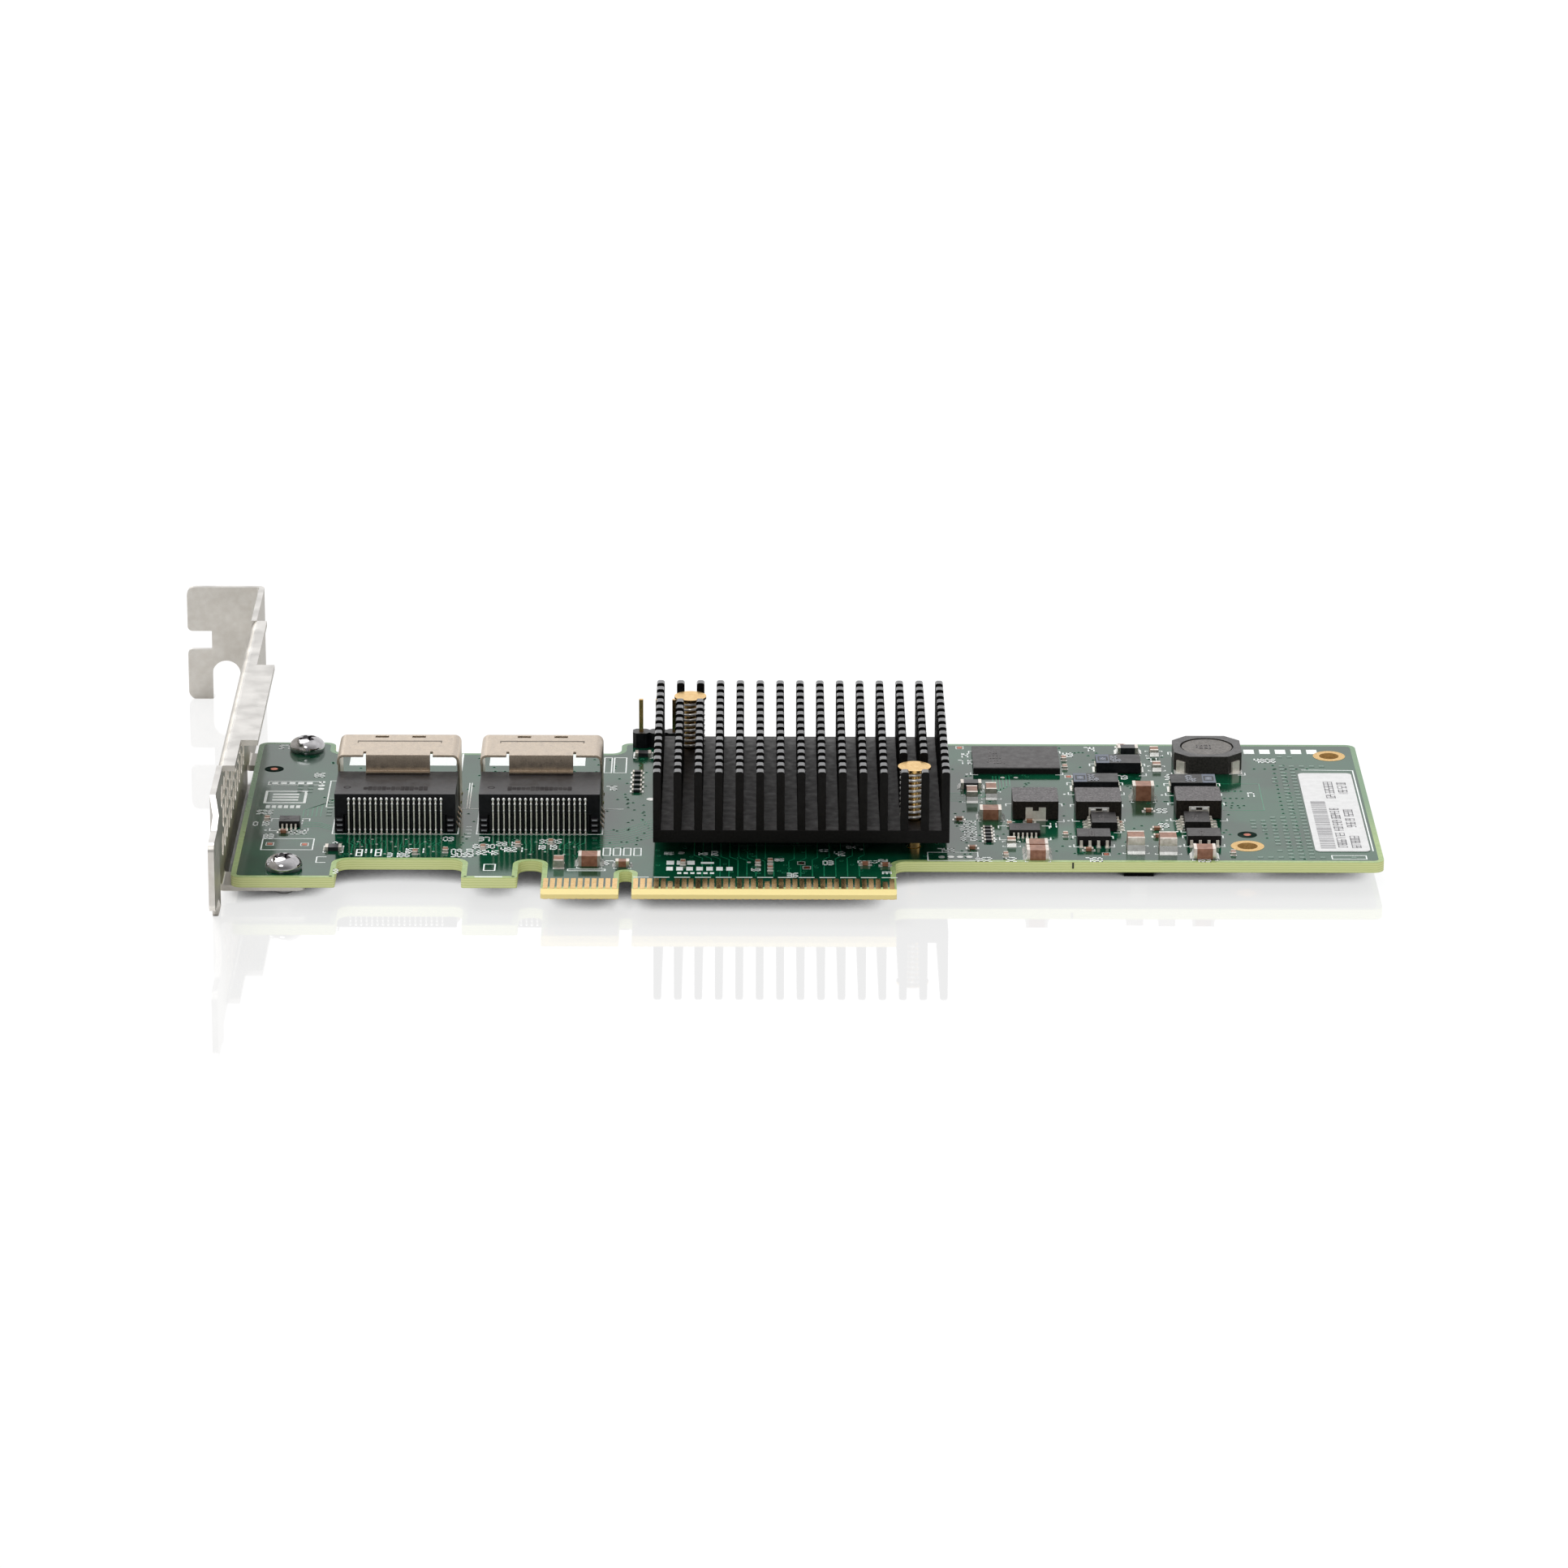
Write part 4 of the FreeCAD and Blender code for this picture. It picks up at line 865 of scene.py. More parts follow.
# Small numbers that read up the board, from the sink's left side
TURNED_NUMBERS = ((2.9, 16.4), (7.9, 16.3), (19.0, 13.6), (15.6, 9.2), (31.1, 12.8), (32.6, 12.8),
                  (34.1, 13.4), (34.6, 8.0), (25.5, 17.9), (29.5, 19.4))


def print_numbers(print_ink):
    for reference, places in ((left_end, LEFT_NUMBERS), (sink_right, RIGHT_NUMBERS),
                              (sink_left, SINK_NUMBERS)):
        for dx, y, count in places:
            plain_number(print_ink, some_figures(count), reference + dx, y - 0.2)
    for dx, y in TURNED_NUMBERS:
        plain_number(print_ink, some_figures(2), sink_left + dx, y, 1.2, turned=True)
    plain_number(print_ink, "4806", right_end - 15.8, 60.1)


# The parts that get corner marks, by how far the marks stand off
MARKED_PARTS = (
    (0.5, "memory_chip drum_inductor_frame"),
    (0.6, "power_inductor_2 transistor_1 transistor_2 transistor_3 transistor_4"),
    (0.9, "power_inductor_1 power_inductor_3"),
    (0.9, "tantalum_capacitor_1 tantalum_capacitor_2 tantalum_capacitor_3"),
    (1.4, "logic_chip"),
    (1.5, "controller_chip"),
    (1.6, "regulator_chip"),
)


def print_corners(print_ink):
    """Corner marks round the parts, with a dot beside the larger ones."""
    for gap, names in MARKED_PARTS:
        for name in names.split():
            low, high = node_box(name)
            corner_marks(print_ink, (low, high), gap)
            spot(print_ink, low[0] - gap - 0.5, low[1] - gap + 0.3, 0.22)
    for kind in ("ceramic_capacitor_bodies", "chip_resistor_bodies"):
        for box in islands(kind):
            corner_marks(print_ink, box, 0.75, 0.5, 0.15)


def print_lines(print_ink):
    """Open outlines round the ports and the label, and two long brackets at the left."""
    for port in (1, 2):
        low, high = node_box("cable_port_%d_body" % port)
        x0, x1, front = low[0] - 0.35, high[0] + 0.35, low[1] - 0.65
        back = front + 11.7
        line(print_ink, [(x0, back + 0.8), (x0, front), (x1, front), (x1, back), (x1 + 2.9, back)])
    low, high = node_box("label")
    right = high[0] + 0.4
    line(print_ink, [(low[0] + 0.7, high[1] + 1.8), (right, high[1] + 1.6), (right, low[1] + 0.3)])
    x0, x1 = left_end + 12.0, left_end + 13.4
    for y0, y1 in ((12.5, 15.0), (37.8, 50.2)):
        line(print_ink, [(x1, y1), (x0, y1), (x0, y0), (x1, y0)], 0.18)


def print_bars(print_ink):
    """Plain bars and frames beside the parts, and where such a board would carry its marks."""
    port_right = node_box("cable_port_1_body")[1][0]
    port_left = node_box("cable_port_2_body")[0][0]
    # Reference, left and right from it, front and back, columns, rows, and the step to the next
    for reference, x0, x1, y0, y1, columns, rows, step in (
            (sink_left, 2.0, 3.1, 11.9, 13.6, 3, 1, 1.5), (sink_left, 2.0, 2.95, 9.3, 10.9, 7, 1, 1.45),
            (sink_left, 3.6, 4.2, 7.8, 8.5, 6, 1, 0.95), (sink_left, 7.0, 8.9, 12.3, 13.1, 1, 1, 0),
            (sink_left, -2.8, -0.5, 6.2, 6.42, 13, 1, 3), (right_end, -17.2, -15.6, 64.3, 66.4, 5, 1, 2.4),
            (left_end, 3.7, 7.6, 40.8, 41.5, 1, 3, 1.3), (left_end, 3.0, 3.6, 37.3, 38.6, 6, 1, 0.9),
            (left_end, 3.2, 4.1, 48.6, 49.6, 5, 1, 1.3), (left_end, 17.76, 18.36, 16.8, 17.1, 2, 1, 2.79),
            (left_end, 18.89, 19.13, 16.8, 18.6, 2, 1, 0.78), (port_left, 0.1, 4.1, 6.1, 6.5, 1, 1, 0),
            (port_right, 1.1, 1.25, 37.4, 49.4, 2, 1, 0.35), (port_right, 1.4, 2.3, 24.2, 24.4, 1, 4, 1.5)):
        for x, y in grid(reference, 0, columns, rows, step, step):
            bar(print_ink, x + x0, x + x1, y + y0, y + y1)
    # Frames: reference, left and right from it, front and back, line width, how many, and the step
    thin = 0.18
    for reference, x0, x1, y0, y1, width, count, step in (
            (left_end, 3.5, 11.2, 18.1, 23.3, thin, 1, 0), (left_end, 2.6, 10.8, 48.2, 50, thin, 1, 0),
            (left_end, 2.5, 8.8, 39.6, 45.4, 0.4, 1, 0), (left_end, 17.56, 18.56, 15.4, 18.5, 0.22, 2, 2.79),
            (port_left, 1.2, 3.0, 9.0, 12.0, 0.2, 1, 0), (sink_left, -8.1, -6.8, 54.3, 61.8, thin, 1, 0),
            (sink_left, -6.6, -4.6, 54.3, 61.8, thin, 1, 0), (sink_left, -12.4, -6.8, 9, 9.9, thin, 1, 0),
            (sink_left, -7.4, -6.2, 15.8, 19.3, thin, 4, 1.5),
            (sink_right, -3.2, 4.3, 13.8, 17.8, thin, 1, 0),
            (right_end, -7.6, -2.4, 14.9, 16.7, thin, 1, 0)):
        for x, _ in grid(reference, 0, count, 1, step, 0):
            rectangle(print_ink, x + x0, x + x1, y0, y1, width)
    for x, y in grid(left_end + 10.7, 46.4, 1, 3, 0, 1.6):
        spot(print_ink, x, y, 0.5, segments=12)
    print_behind_ports(print_ink)


def print_behind_ports(print_ink):
    """White bars beside and behind each port's shield."""
    for port in (1, 2):
        low, high = node_box("cable_port_%d_cage" % port)
        shorter = 1.7 * (port - 1)
        for x, x0, x1, y0, y1 in (
                (low[0], 0.5, 4.6, 57.7, back_edge - 5.3), (high[0], -0.7, -0.4, 54.8, back_edge - 5.4),
                (high[0], -5.6, -1.4 - shorter, 57.7, back_edge - 5.6), (low[0], 3.9, 4.15, 54.0, 57.0)):
            bar(print_ink, x + x0, x + x1, y0, y1)


def print_board():
    print_ink = Sketch()
    print_numbers(print_ink)
    print_corners(print_ink)
    print_lines(print_ink)
    print_bars(print_ink)
    print_ink.piece("board_print", silk, "solder_mask")


print_board()


def copper_dashes():
    """Rows of small copper squares under the mask, each drawn as a bar of painted highlight at its back and a
    bar of painted shade at its front.
    """
    pitch, first_x, first_y = 1.52, 92.5, 15.6
    # Blocks at the right: first column and row, columns, rows
    blocks = [(first_x + pitch * column, first_y + pitch * row, across, along)
              for column, row, across, along in (
                  (0, 0, 4, 1), (6, 0, 1, 1), (9, 0, 1, 1), (0, 9, 1, 3), (1, 8, 1, 4), (2, 2, 1, 1),
                  (2, 4, 1, 9), (3, 1, 1, 12), (3, 23, 1, 2), (4, 0, 2, 29), (4, 31, 2, 1), (6, 28, 3, 1),
                  (-3, 27, 1, 1))]
    blocks += [(left_end + x, y, across, along)
               for x, y, across, along in ((36.2, 46.5, 2, 4), (36.2, 52.5, 2, 2), (7.6, 44.9, 2, 3),
                                           (12.6, 34.0, 1, 6))]
    light, dark = Sketch(), Sketch()
    for block in blocks:
        for x, y in grid(*block, pitch, pitch):
            # Painted shade in front, painted highlight behind.
            bar(dark, x - 0.42, x + 0.42, y - 0.36, y - 0.02)
            bar(light, x - 0.36, x + 0.36, y + 0.16, y + 0.36)
    dark.piece("dash_shades", dash_painted_shade, "solder_mask")
    light.piece("dash_edges", dash_highlight, "solder_mask")


copper_dashes()


def lands_and_pads():
    """Plated lands round the holes, test pads and fiducials."""
    plated, pads, red, dark = Sketch(), Sketch(), Sketch(), Sketch()
    bore, lining, land, thick = 1.5, 1.62, 2.45, 0.03
    for x, y in ((sink_right + 43.9, 20.8), (sink_right + 59.13, back_edge - 5.6)):
        plated.washer(x, y, lining, land, TOP, TOP + thick, 32)
        plated.washer(x, y, lining, land, UNDER - thick, UNDER, 32)
        plated.washer(x, y, bore, lining, UNDER - thick, TOP + thick, 32)
    dot, clear = 0.55, 1.45
    for x, y in ((left_end + 3.05, 55.9), (sink_right + 44.2, 26.0)):
        dark.washer(x, y, dot, clear, TOP, TOP + 0.02)
        spot(red, x, y, dot, thick, 16)
    round_pads = [(*place, 0.48) for place in grid(sink_right - 1.1, 15.6, 4, 1, 1.35, 0)]
    round_pads += [(sink_left + x, y, size) for x, y, size in (
        (4.1, 17.2, 0.5), (14.0, 13.0, 0.3), (30.4, 19.1, 0.3), (-0.7, 41.8, 0.7))]
    round_pads += [(sink_right + x, y, size) for x, y, size in (
        (32.8, 59.1, 0.45), (32.6, 56.2, 0.45), (9.0, 52.5, 0.35), (11.0, 52.5, 0.35), (24.0, 44.0, 0.4))]
    for x, y, size in round_pads:
        spot(pads, x, y, size, 0.04, 14)
    for reference, places in ((left_end, ((4.75, 20.8), (9.85, 20.6))),
                              (sink_left, ((21.6, 12.7), (22.4, 10.7))),
                              (sink_right, ((23.0, 17.0), (19.0, 53.1), (2.9, 67.0)))):
        for dx, y in places:
            x = reference + dx
            bar(red, x - 0.35, x + 0.35, y - 0.45, y + 0.45, rise=thick)
            rectangle(pads, x - 0.6, x + 0.6, y - 0.7, y + 0.7, 0.12)
    plated.piece("hole_lands", old_gold, "gold")
    pads.piece("bare_pads", solder, "tinned_lead")
    red.piece("copper_pads", copper_red, "gold")
    dark.piece("fiducial_rings", via_shade_and_fiducial_ring, "solder_mask")


lands_and_pads()


# ---- Vias and traces ----
CONTACTS, CONTACT_PITCH = 18, 0.8
board_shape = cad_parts["circuit_board"].data
board_tree = BVHTree.FromPolygons([v.co for v in board_shape.vertices],
                                  [p.vertices for p in board_shape.polygons])


def part_feet():
    """The footprint of everything that stands on the board."""
    feet = []
    reach = TOP + 3              # what starts higher than this leaves the board below it free
    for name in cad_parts:
        if name != "circuit_board" and "edge_contacts" not in name:
            feet += [(low, high) for low, high in islands(name) if low[2] < reach and high[2] > TOP]
    return feet


def is_free(x, y, feet, gap=0.6):
    return not any(low[0] - gap < x < high[0] + gap and low[1] - gap < y < high[1] + gap
                   for low, high in feet)


def on_board(x, y, margin=1.2):
    down = Vector((0, 0, -1))
    return all(board_tree.ray_cast(Vector(((x + dx) * MM, (y + dy) * MM, 1)), down)[0]
               for dx, dy in product((-margin, margin), repeat=2))


def contact_column(port, n):
    """Where a port's contact stands, and how far towards the front its trace ends in a via."""
    low = node_box("cable_port_%d_contacts" % port)[0]
    return low[0] + 0.15 + CONTACT_PITCH * n, 16.4 + 1.1 * (n * 5 % 7)


def via_places():
    """Vias in rows, single ones, and others strewn at random over each region."""
    places = []
    # Rows: the first via, columns, rows and the steps between them
    for row in ((right_end - 11.6, 15, 2, 24, -1.6, 1.9), (right_end - 14.8, 24.5, 2, 5, -1.6, 1.9),
                (sink_right + 42.5, 57.0, 9, 1, 1.6, 0), (sink_right + 41.9, 39.5, 4, 3, 0.9, 3.4)):
        places += grid(*row)
    places += [(left_end + x, y) for x, y in ((2.7, 62.5), (2.9, 59.9), (4.4, 60.9), (10.6, 37.0))]
    places += [contact_column(port, n) for port in (1, 2) for n in range(CONTACTS)]
    # Regions: left, right, front, back and how many
    for x0, x1, y0, y1, count in (
            (left_end + 1.5, left_end + 12, 16, 66, 40), (-24.8, -22.4, 14, 66, 16), (-3.4, 2.6, 16, 62, 46),
            (sink_left, sink_right, 8.2, 22, 60), (sink_right + 1.4, sink_right + 44, 15.2, 67, 190),
            (left_end + 13, -4, 15.2, 24, 60), (-43, -26, 48, 62, 24), (-21.5, -5, 48, 62, 24)):
        places += [(random.uniform(x0, x1), random.uniform(y0, y1)) for _ in range(count)]
    return places


def make_vias():
    """Covered vias, also under the heat sink: a raised ring of mask with a dark middle of painted shade for
    the hole, on both faces.
    """
    widest_foot, rim, middle = 30, 0.012, 0.018
    feet = [(low, high) for low, high in part_feet() if high[0] - low[0] < widest_foot]
    rims, middles = Sketch(), Sketch()
    for x, y in via_places():
        if is_free(x, y, feet) and on_board(x, y):
            spot(rims, x, y, 0.32, rim)
            spot(middles, x, y, 0.21, middle, 8)
            rims.disc(x, y, 0.3, UNDER - rim, UNDER, 10)
            middles.disc(x, y, 0.13, UNDER - middle, UNDER, 8)
    rims.piece("via_rims", trace_green, "solder_mask")
    middles.piece("via_middles", via_shade_and_fiducial_ring, "solder_mask")


make_vias()


def port_traces(trace, dots):
    """From each port's contacts to a via in front of it, drawn together a little."""
    for port in (1, 2):
        low, high = node_box("cable_port_%d_contacts" % port)
        middle = (low[0] + high[0]) / 2
        for n in range(CONTACTS):
            x, stop = contact_column(port, n)
            end = x + (middle - x) * 0.12
            trace((x, low[1]), (x, 21.6), (end, 20.6), (end, stop))
            spot(dots, end, stop, 0.2)


def make_traces():
    """Raised lines of copper under the mask."""
    lines, dots = Sketch(), Sketch()
    rise = 0.01

    def trace(*route):
        line(lines, route, 0.17, rise)

    port_traces(trace, dots)
    # Bundles: reference, how many, and each bend's x and y with their steps from line to line
    for reference, count, bends in (
            (sink_left, 8, ((-8.0, 19.8, 0, 1), (-4.9, 20.6, 0, 1), (0, 24.6, 0, 1.15))),
            (sink_left, 9, ((6.0, 22.0, 1.3, 0), (6.0, 16.2, 1.3, -0.2), (7.2, 14.9, 1.3, -0.2),
                            (7.2, 6.8, 1.3, 0))),
            (sink_left, 7, ((20.6, 23.0, 1.7, 0), (20.6, 14.6, 1.7, 0.3), (19.8, 13.6, 1.7, 0.3),
                            (19.8, 6.8, 1.7, 0))),
            (sink_right, 6, ((0.4, 41.4, 0, 0.75), (4.0, 41.4, 0.5, 0.75), (7.5, 44.8, 0.5, 0.75),
                             (7.5, 53.2, 0.5, 0))),
            (left_end, 5, ((8.8, 33.4, 0.65, 0), (8.8, 36.5, 0.65, 0.5), (14.4, 42.0, 0, 0.5))),
            (left_end, 4, ((9.0, 30.6, 0, -0.6), (11.6, 30.6, 0, -0.6), (13.4, 29.0, 0, -0.6)))):
        for n in range(count):
            trace(*[(reference + x + dx * n, y + dy * n) for x, y, dx, dy in bends])
    trace(*[(sink_left - 2.2 + 1.9 * t / 12 + 0.35 * math.sin(t * 1.7), 33.1 - 5.7 * t / 12)
            for t in range(13)])
    x0, x1, y0, y1 = sink_right + 41.4, sink_right + 47.5, 37.3, 49.8
    line(lines, [(x0, y0), (x1, y0), (x1, y1), (x0, y1), (x0, y0)], 0.14, rise)
    lines.piece("covered_traces", trace_green, "solder_mask")
    dots.piece("filled_vias", solder, "tinned_lead")


make_traces()


# ---- The board's margins ----
def close_holes(shape):
    """Fills every boundary loop but the outline, which reaches furthest."""
    loose = set(e for e in shape.edges if e.is_boundary)
    loops = []
    while loose:
        loop, reach = [], [loose.pop()]
        while reach:
            edge = reach.pop()
            loop.append(edge)
            near = [e for v in edge.verts for e in v.link_edges if e in loose]
            loose.difference_update(near)
            reach += near
        loops.append(loop)
    outline = min(loops, key=lambda loop: min(v.co.x for e in loop for v in e.verts))
    for loop in loops:
        if loop is not outline:
            bmesh.ops.contextual_create(shape, geom=loop)
    shape.normal_update()


def keep_faces(shape, kept):
    bmesh.ops.delete(shape, geom=[f for f in shape.faces if f not in kept], context="FACES")


def board_rims():
    """The paler margins along the board's edges, where the copper stops short."""
    thick, connector_back = 0.006, 1.4
    for side, z, sign in (("component", TOP, 1), ("solder", UNDER, -1)):
        shape = bmesh.new()
        shape.from_mesh(board_shape)
        bmesh.ops.remove_doubles(shape, verts=shape.verts, dist=1e-6)
        keep_faces(shape, set(f for f in shape.faces if f.normal.z * sign > 0.99
                              and abs(f.calc_center_median().z - z * MM) < 1e-5))
        close_holes(shape)
        strips = set()
        for index, width in enumerate((0.28, 0.5)):
            inside = [f for f in shape.faces if f not in strips]
            made = bmesh.ops.inset_region(shape, faces=inside, thickness=width * MM,
                                          use_boundary=True, use_even_offset=True)["faces"]
            for face in made:
                face.material_index = index
            strips.update(made)
        keep_faces(shape, set(f for f in strips if f.calc_center_median().y > connector_back * MM))
        raised_part = bmesh.ops.extrude_face_region(shape, geom=list(shape.faces))["geom"]
        moved = [v for v in raised_part if isinstance(v, bmesh.types.BMVert)]
        bmesh.ops.translate(shape, verts=moved, vec=(0, 0, sign * thick * MM))
        mesh = bpy.data.meshes.new("rim")
        shape.to_mesh(mesh)
        shape.free()
        mesh.materials.clear()
        for material in (bare_rim, mask_rim):
            mesh.materials.append(material)
        finish_piece("board_rim_" + side, mesh)


board_rims()


def scored_mark():
    """The short black mark down the board's front edge."""
    mark = Sketch()
    x = sink_right + 18.0
    mark.box((x - 0.12, 13.42, TOP - 1.0), (x + 0.12, 13.5, TOP - 0.1))
    mark.piece("scored_mark", black_ink, "solder_mask")


scored_mark()


# ---- Marks on the parts ----
def mark_tantalums():
    """A framed plus sign on each capacitor's stripe, and two numbers beside it."""
    pale, black = Sketch(), Sketch()
    for n in (1, 2, 3):
        low, high = node_box("tantalum_capacitor_%d" % n)
        at_left = n != 3
        x = low[0] + 1.05 if at_left else high[0] - 1.05
        y, top_z = (low[1] + high[1]) / 2, high[2]
        rectangle(black, x - 0.75, x + 0.75, y - 1.0, y + 1.0, 0.22, top_z)
        for half_x, half_y in ((0.3, 0.13), (0.08, 0.5)):
            bar(pale, x - half_x, x + half_x, y - half_y, y + half_y, top_z)
        start = x + 1.2 if at_left else x - 3.4
        for row in range(2):
            plain_number(pale, some_figures(3 - row), start, y - 1.3 + 1.5 * row, 1.1, z=top_z, weight=0.14)
    pale.piece("tantalum_print", light_ink, "chip_moulding")
    black.piece("polarity_frames", black_ink, "chip_moulding")


def number_packages():
    """Plain numbers on the tops of the packages, placed from a front corner or from the middle."""
    sketch = Sketch()
    rows = [("memory_chip", False, 2.2, 2.2 + 2.4 * row, 5 - row, 1.1) for row in range(3)]
    rows += [("transistor_%d" % n, True, -0.7, dy, 2, 0.9) for n in (1, 2, 3, 4) for dy in (-0.2, -1.6)]
    rows += [(name, False, 0.8, 1.1, 2, 0.9) for name in ("logic_chip", "regulator_chip")]
    rows += [("drum_inductor_core", True, -1.5, -0.8, 3, 1.5)]
    for name, from_middle, dx, dy, count, height in rows:
        low, high = node_box(name)
        start = centre((low, high)) if from_middle else low
        plain_number(sketch, some_figures(count), start[0] + dx, start[1] + dy, height, z=high[2])
    sketch.piece("package_print", chip_ink, "chip_moulding")


def print_label():
    """Bars of chance widths, and columns of random figures in groups."""
    sketch = Sketch()
    low, high = node_box("label")
    y = low[1] + 1.2
    while y < low[1] + 23:
        thick = random.choice((0.12, 0.2, 0.3))
        bar(sketch, low[0] + 0.9, low[0] + 3.1, y, y + thick, high[2], 0.01)
        y += thick + random.choice((0.16, 0.24, 0.36))
    height = 1.25
    for column, start, counts in ((4.8, 1.7, (11, 9, 8)), (4.8, 24.5, (3, 9)), (6.8, 1.5, (9,)),
                                  (6.8, 11.0, (4, 2, 6)), (6.8, 26.2, (4, 2, 2))):
        y = low[1] + start
        for count in counts:
            plain_number(sketch, some_figures(count), low[0] + column, y, height, True, high[2], 0.075)
            y += (count + 0.7) * height * FIGURE_WIDTH * FIGURE_PITCH
    sketch.piece("label_print", label_ink, "label_film")


mark_tantalums()
number_packages()
print_label()


def clip_lips():
    """The folded lips of the coils' clips, on their fronts, in a brighter tin as painted highlight."""
    lips = Sketch()
    for n in (2, 3):
        low, high = node_box("power_inductor_%d" % n)
        x, y = (low[0] + high[0]) / 2, low[1]
        lips.soft_box((x - 1.52, y - 0.2, 2.66), (x + 1.52, y - 0.06, 2.82), 0.04)
        for x0 in (x - 1.25, x + 0.5):
            lips.soft_box((x0, y - 0.26, 2.28), (x0 + 0.75, y - 0.1, 2.6), 0.05)
    lips.piece("clip_lips", bend_highlight_tin, "tinned_lead")


clip_lips()


# ---- Cable ports ----
# A contact's tail from the moulding down to the board: how far back and how high
TAIL = ((1.0, 5.3), (0.65, 5.3), (0.6, 4.8), (0.45, 4.62), (0.45, 3.8), (0.56, 3.62), (0.5, 0.25),
        (0.02, 0.16))
# Where a painted highlight sits on each bend: how far back, how high, and radius
BENDS = ((0.62, 5.3, 0.24), (0.44, 4.62, 0.19), (0.48, 3.6, 0.15), (0.44, 0.62, 0.18))


def contact_tails(port):
    """The contacts with bent tails, and a small bright lump of painted highlight at each bend."""
    node = "cable_port_%d_contacts" % port
    tails, shine = Sketch(), Sketch()
    for low, high in islands(node):
        if low[2] > TOP + 0.1:
            tails.box(low, high)
            continue
        x = (low[0] + high[0]) / 2
        side = Sketch()
        side.track([(low[1] + y, TOP + z) for y, z in TAIL], 0.14, x - 0.1, x + 0.1)
        tails.add([(c, a, b) for a, b, c in side.points], side.faces)
        for y, z, size in BENDS:
            profile = arc(0, TOP + z, size, (-60, -25, 10, 45, 75), size * 1.1)
            shine.turned(x, low[1] + y, profile, 8)
    tails.piece("port_%d_tails" % port, tail_tin, "tinned_lead", replaces=[node])
    shine.piece("port_%d_bends" % port, bend_highlight_tin, "tinned_lead", smooth=True)


def moulding_details(port):
    """The ribs on a moulding's front with grey patches of painted highlight at their fronts, and flat dark
    matte patches of painted shade on its roof for its hollows and dimple.
    """
    low, high = node_box("cable_port_%d_body" % port)
    middle, front, roof = (low[0] + high[0]) / 2, low[1], high[2]
    ribs, rib_highlights, hollow_shades = Sketch(), Sketch(), Sketch()
    for x in (low[0], high[0] - 1.5):
        for z in (TOP + 0.35, TOP + 1.15, TOP + 1.95):
            ribs.soft_box((x + 0.2, front - 0.6, z), (x + 1.3, front + 0.05, z + 0.4), 0.06)
            # A grey patch of painted highlight on the rib's front.
            rib_highlights.box((x + 0.35, front - 0.64, z + 0.12), (x + 1.15, front - 0.58, z + 0.3))
    for n in range(19):
        x = middle + (n - 9) * CONTACT_PITCH
        ribs.box((x - 0.14, front - 0.22, TOP + 0.25), (x + 0.14, front + 0.02, TOP + 2.75))
    ribs.box((low[0] + 1.2, front - 0.06, TOP + 2.86), (high[0] - 1.2, front + 0.02, TOP + 3.0))
    for n in range(14):
        x, y = middle - 4.75 + 0.68 * n, front + 2.6
        half = random.uniform(1.2, 2.0) / 2
        # Flat dark patches of painted shade stand for the hollows.
        hollow_shades.prism(rounded_rectangle(x, x + 0.64, y - half, y + half, 0.2, 2), roof, roof + 0.01)
    hollow_shades.washer(low[0] + 1.75, front + 3.1, 0.34, 0.56, roof, roof + 0.01, 16)
    ribs.piece("port_%d_ribs" % port, moulding, "black_moulding")
    rib_highlights.piece("port_%d_grips" % port, rib_highlight_grey, "tinned_lead")
    hollow_shades.piece("port_%d_shades" % port, hollow_shade_paint, "black_moulding")


def shield_details(port):
    """The slit in a shield's roof as flat brown bars of painted shade, two light strips of painted highlight
    for its folded foot at the front, and the prongs at its right side.
    """
    low, high = node_box("cable_port_%d_body" % port)
    cage_low, cage_high = node_box("cable_port_%d_cage" % port)
    middle, front, right = (low[0] + high[0]) / 2, cage_low[1], high[0]
    slit, foot, prongs = Sketch(), Sketch(), Sketch()
    y = cage_high[1] - 3.4
    # Flat bars of painted shade for the slit.
    for x0, x1, y0 in ((-6.1, 6.1, y), (-6.3, -6.1, y - 0.6), (6.1, 6.3, y - 0.6)):
        bar(slit, middle + x0, middle + x1, y0, y + 0.5, cage_high[2], 0.012)
    # Two light strips of painted highlight for the folded foot.
    for rise, tall in ((0.02, 0.12), (0.25, 0.09)):
        z = high[2] + rise
        foot.box((middle - 4.7, front, z), (middle + 4.7, front + 0.02, z + tall))
    for n in range(4):
        y = low[1] + 2.4 + 2.3 * n
        prongs.loft([[(right + 0.02, y, TOP + upper), (right + reach, y - 0.1, TOP + lower),
                      (right + reach, y + 0.5, TOP + lower), (right + 0.02, y + 0.7, TOP + upper)]
                     for reach, upper, lower in ((0.55, 0.9, 0.1), (0.4, 0.75, 0))])
    slit.piece("port_%d_slit" % port, slit_shade_paint, "port_shield")
    foot.piece("port_%d_foot" % port, foot_highlight_paint, "port_shield")
    prongs.piece("port_%d_prongs" % port, shield, "port_shield")


for port in (1, 2):
    contact_tails(port)
    moulding_details(port)
    shield_details(port)


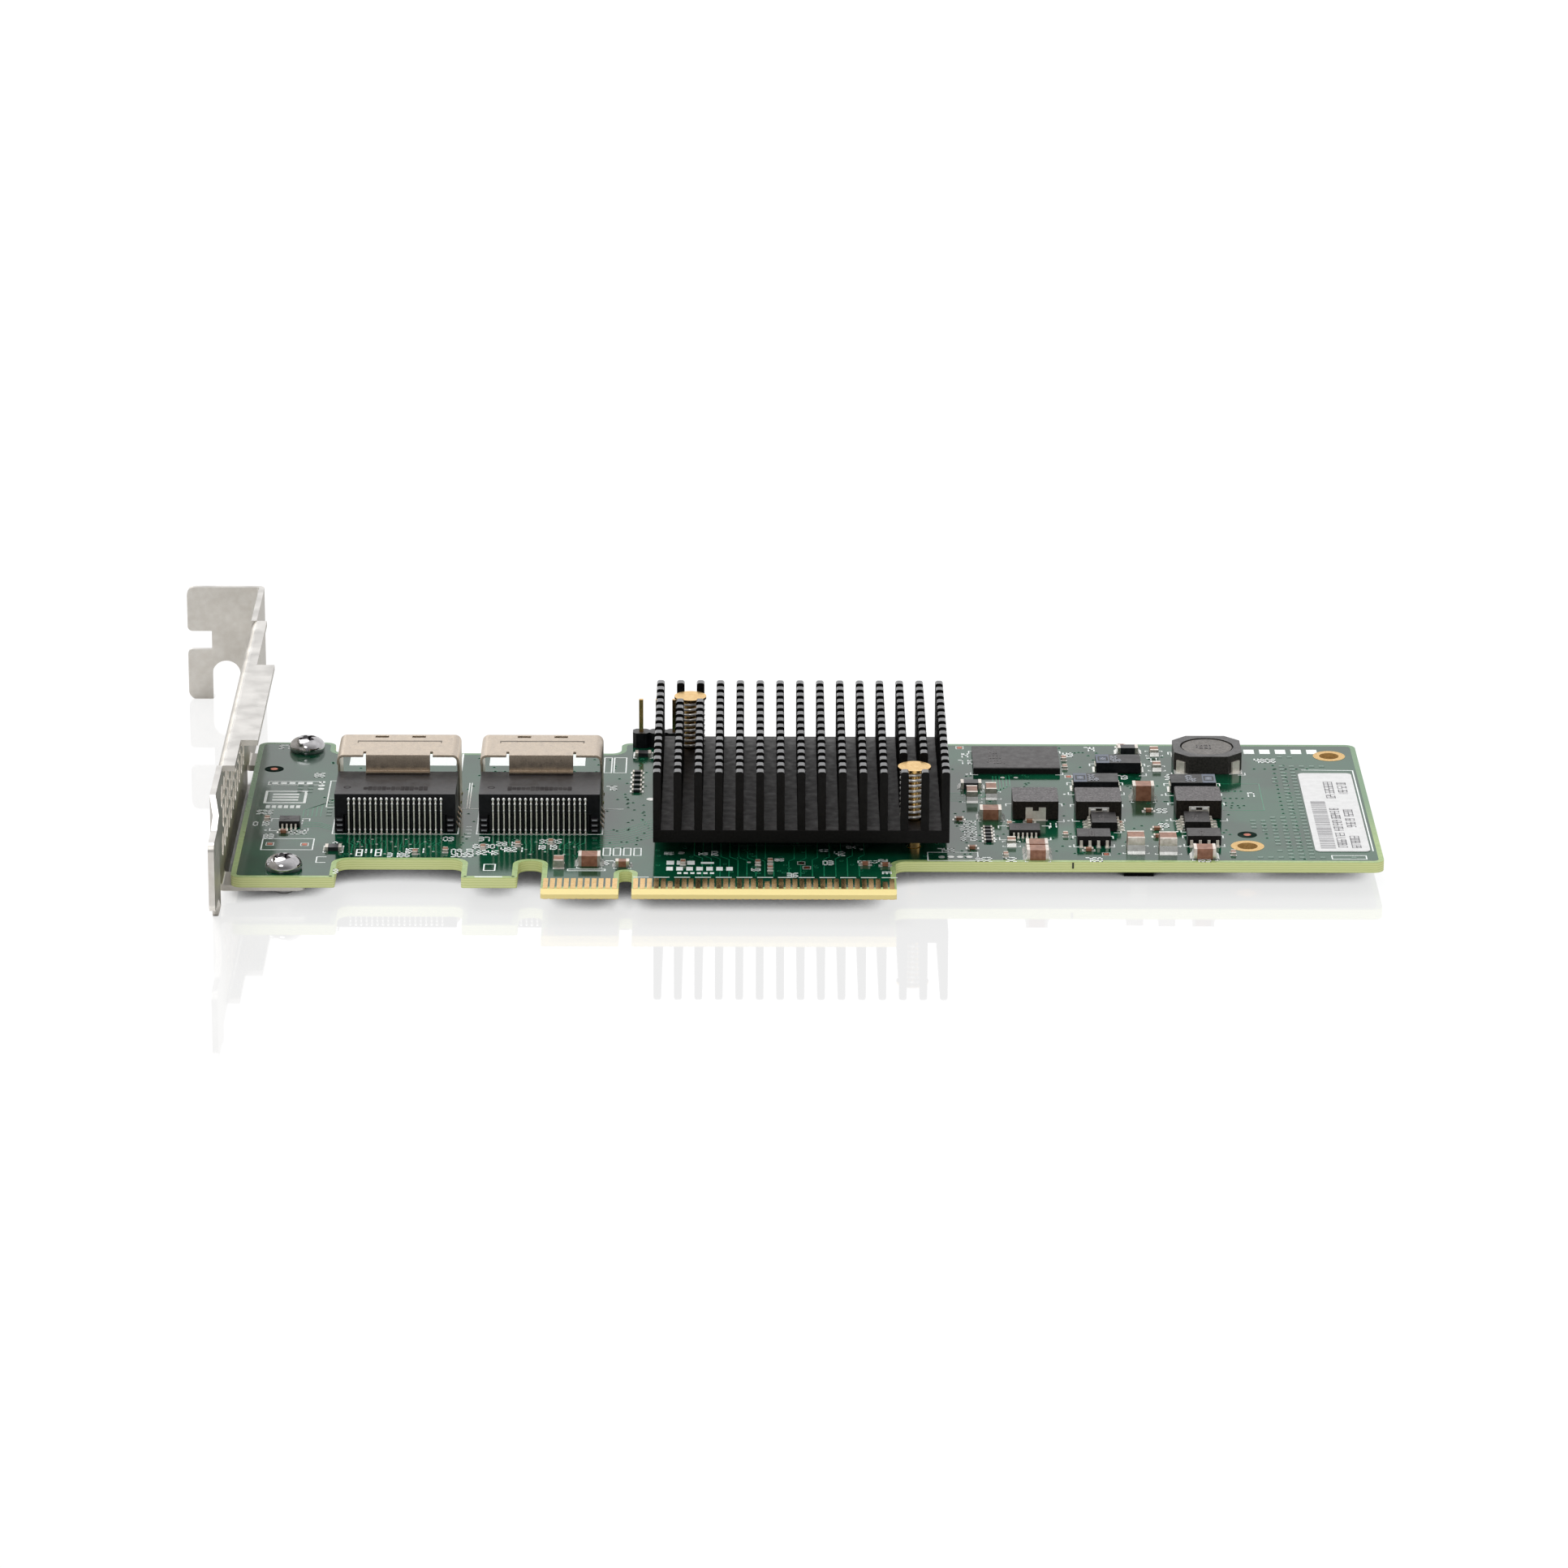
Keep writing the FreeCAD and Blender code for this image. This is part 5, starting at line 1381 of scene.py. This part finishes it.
# ---- Camera, light and floor ----
def aim_camera():
    """The photograph's viewpoint, as fitted to the card's corners and contacts."""
    place = Vector((19.0, -940.68, 328.5 + TOP)) * MM
    pitch, yaw, roll = (math.radians(a) for a in (18.3576, -0.2344, 0.2049))
    data = bpy.data.cameras.new("camera")
    data.sensor_width = 36
    data.lens = 159.09
    data.clip_end = 20
    forward = Vector((-math.sin(yaw) * math.cos(pitch), math.cos(yaw) * math.cos(pitch), -math.sin(pitch)))
    right = Vector((math.cos(yaw), math.sin(yaw), 0))
    up = right.cross(forward)
    right, up = math.cos(roll) * right + math.sin(roll) * up, math.cos(roll) * up - math.sin(roll) * right
    camera = show("camera", data)
    camera.matrix_world = Matrix((right, up, -forward, place)).to_4x4().transposed()
    bpy.context.scene.camera = camera


def light_world():
    """White to the camera; a softly graded studio to all else, paler behind the card."""
    world = bpy.data.worlds.new("studio")
    world.use_nodes = True
    bpy.context.scene.world = world
    background = world.node_tree.nodes["Background"]
    background.inputs["Color"].default_value = (1, 1, 1, 1)
    depth = component(world, "Y", place_in(world, "Generated"))
    dim, bright = 0.25, 1.0
    studio = ramp(world, depth, -0.9, 0.1, dim, bright)
    in_gloss = ramp(world, studio, dim, bright, 0.58, 0.66)
    ray = {kind: add_node(world, "LightPath", output="Is %s Ray" % kind)
           for kind in ("Glossy", "Camera", "Transmission")}
    seen = add_node(world, "Mix", {0: ray["Glossy"], 2: in_gloss, 3: studio})
    white = calculate(world, "MAXIMUM", ray["Camera"], ray["Transmission"])
    strength = calculate(world, "MAXIMUM", seen, white)
    world.node_tree.links.new(strength, background.inputs["Strength"])


def hang_lamps():
    """Two soft suns, one from behind and one from the front."""
    # Name, strength, share in highlights, width in degrees, and where each stands
    for name, energy, shine, angle, direction in (
            ("key", 1.5, 0.3, 40, (-0.33, 0.55, 0.8)),
            ("fill", 0.45, 1.0, 22, (-0.2, -0.62, 0.76))):
        lamp = bpy.data.lights.new(name, "SUN")
        lamp.energy = energy
        lamp.specular_factor = shine
        lamp.angle = math.radians(angle)
        show(name, lamp).rotation_euler = Vector(direction).to_track_quat("Z", "Y").to_euler()


def floor_material():
    """White gloss that glows to the camera; close under the card, where a lamp in front couldn't reach, the
    glow is cut to a painted shadow.
    """
    pale, dark = (0.82, 0.82, 0.82, 1), (0.14, 0.14, 0.14, 1)
    reach, glow = 14 * MM, 0.73
    material = new_material("floor", pale, 0.03, ior=1.7)
    # Painted shadow: to the camera the floor is darker and glows, its glow cut by occlusion towards the
    # front.
    to_camera = add_node(material, "LightPath", output="Is Camera Ray")
    forward = add_node(material, "CombineXYZ", {"Y": -0.87, "Z": 0.5})
    open_air = add_node(material, "AmbientOcclusion", {"Distance": reach, "Normal": forward}, "AO",
                        samples=24)
    lit = calculate(material, "MULTIPLY", to_camera, ramp(material, open_air, 0.4, 0.57))
    feed(material, "Base Color", mix(material, to_camera, pale, dark))
    feed(material, "Emission Strength", ramp(material, lit, 0, 1, 0, glow))
    shader_of(material).inputs["Emission Color"].default_value = (1, 1, 1, 1)
    add_bump(material, noise(material, 40), 0.001, 0.1)
    return material


def lay_floor():
    half, z = 3.0, cad_bounds[0][2]
    mesh = bpy.data.meshes.new("floor")
    mesh.from_pydata([(-half, -half, z), (half, -half, z), (half, half, z), (-half, half, z)], [],
                     [(0, 1, 2, 3)])
    mesh.materials.append(floor_material())
    show("floor", mesh)


aim_camera()
light_world()
hang_lamps()
lay_floor()
bpy.context.scene.view_settings.view_transform = "Standard"
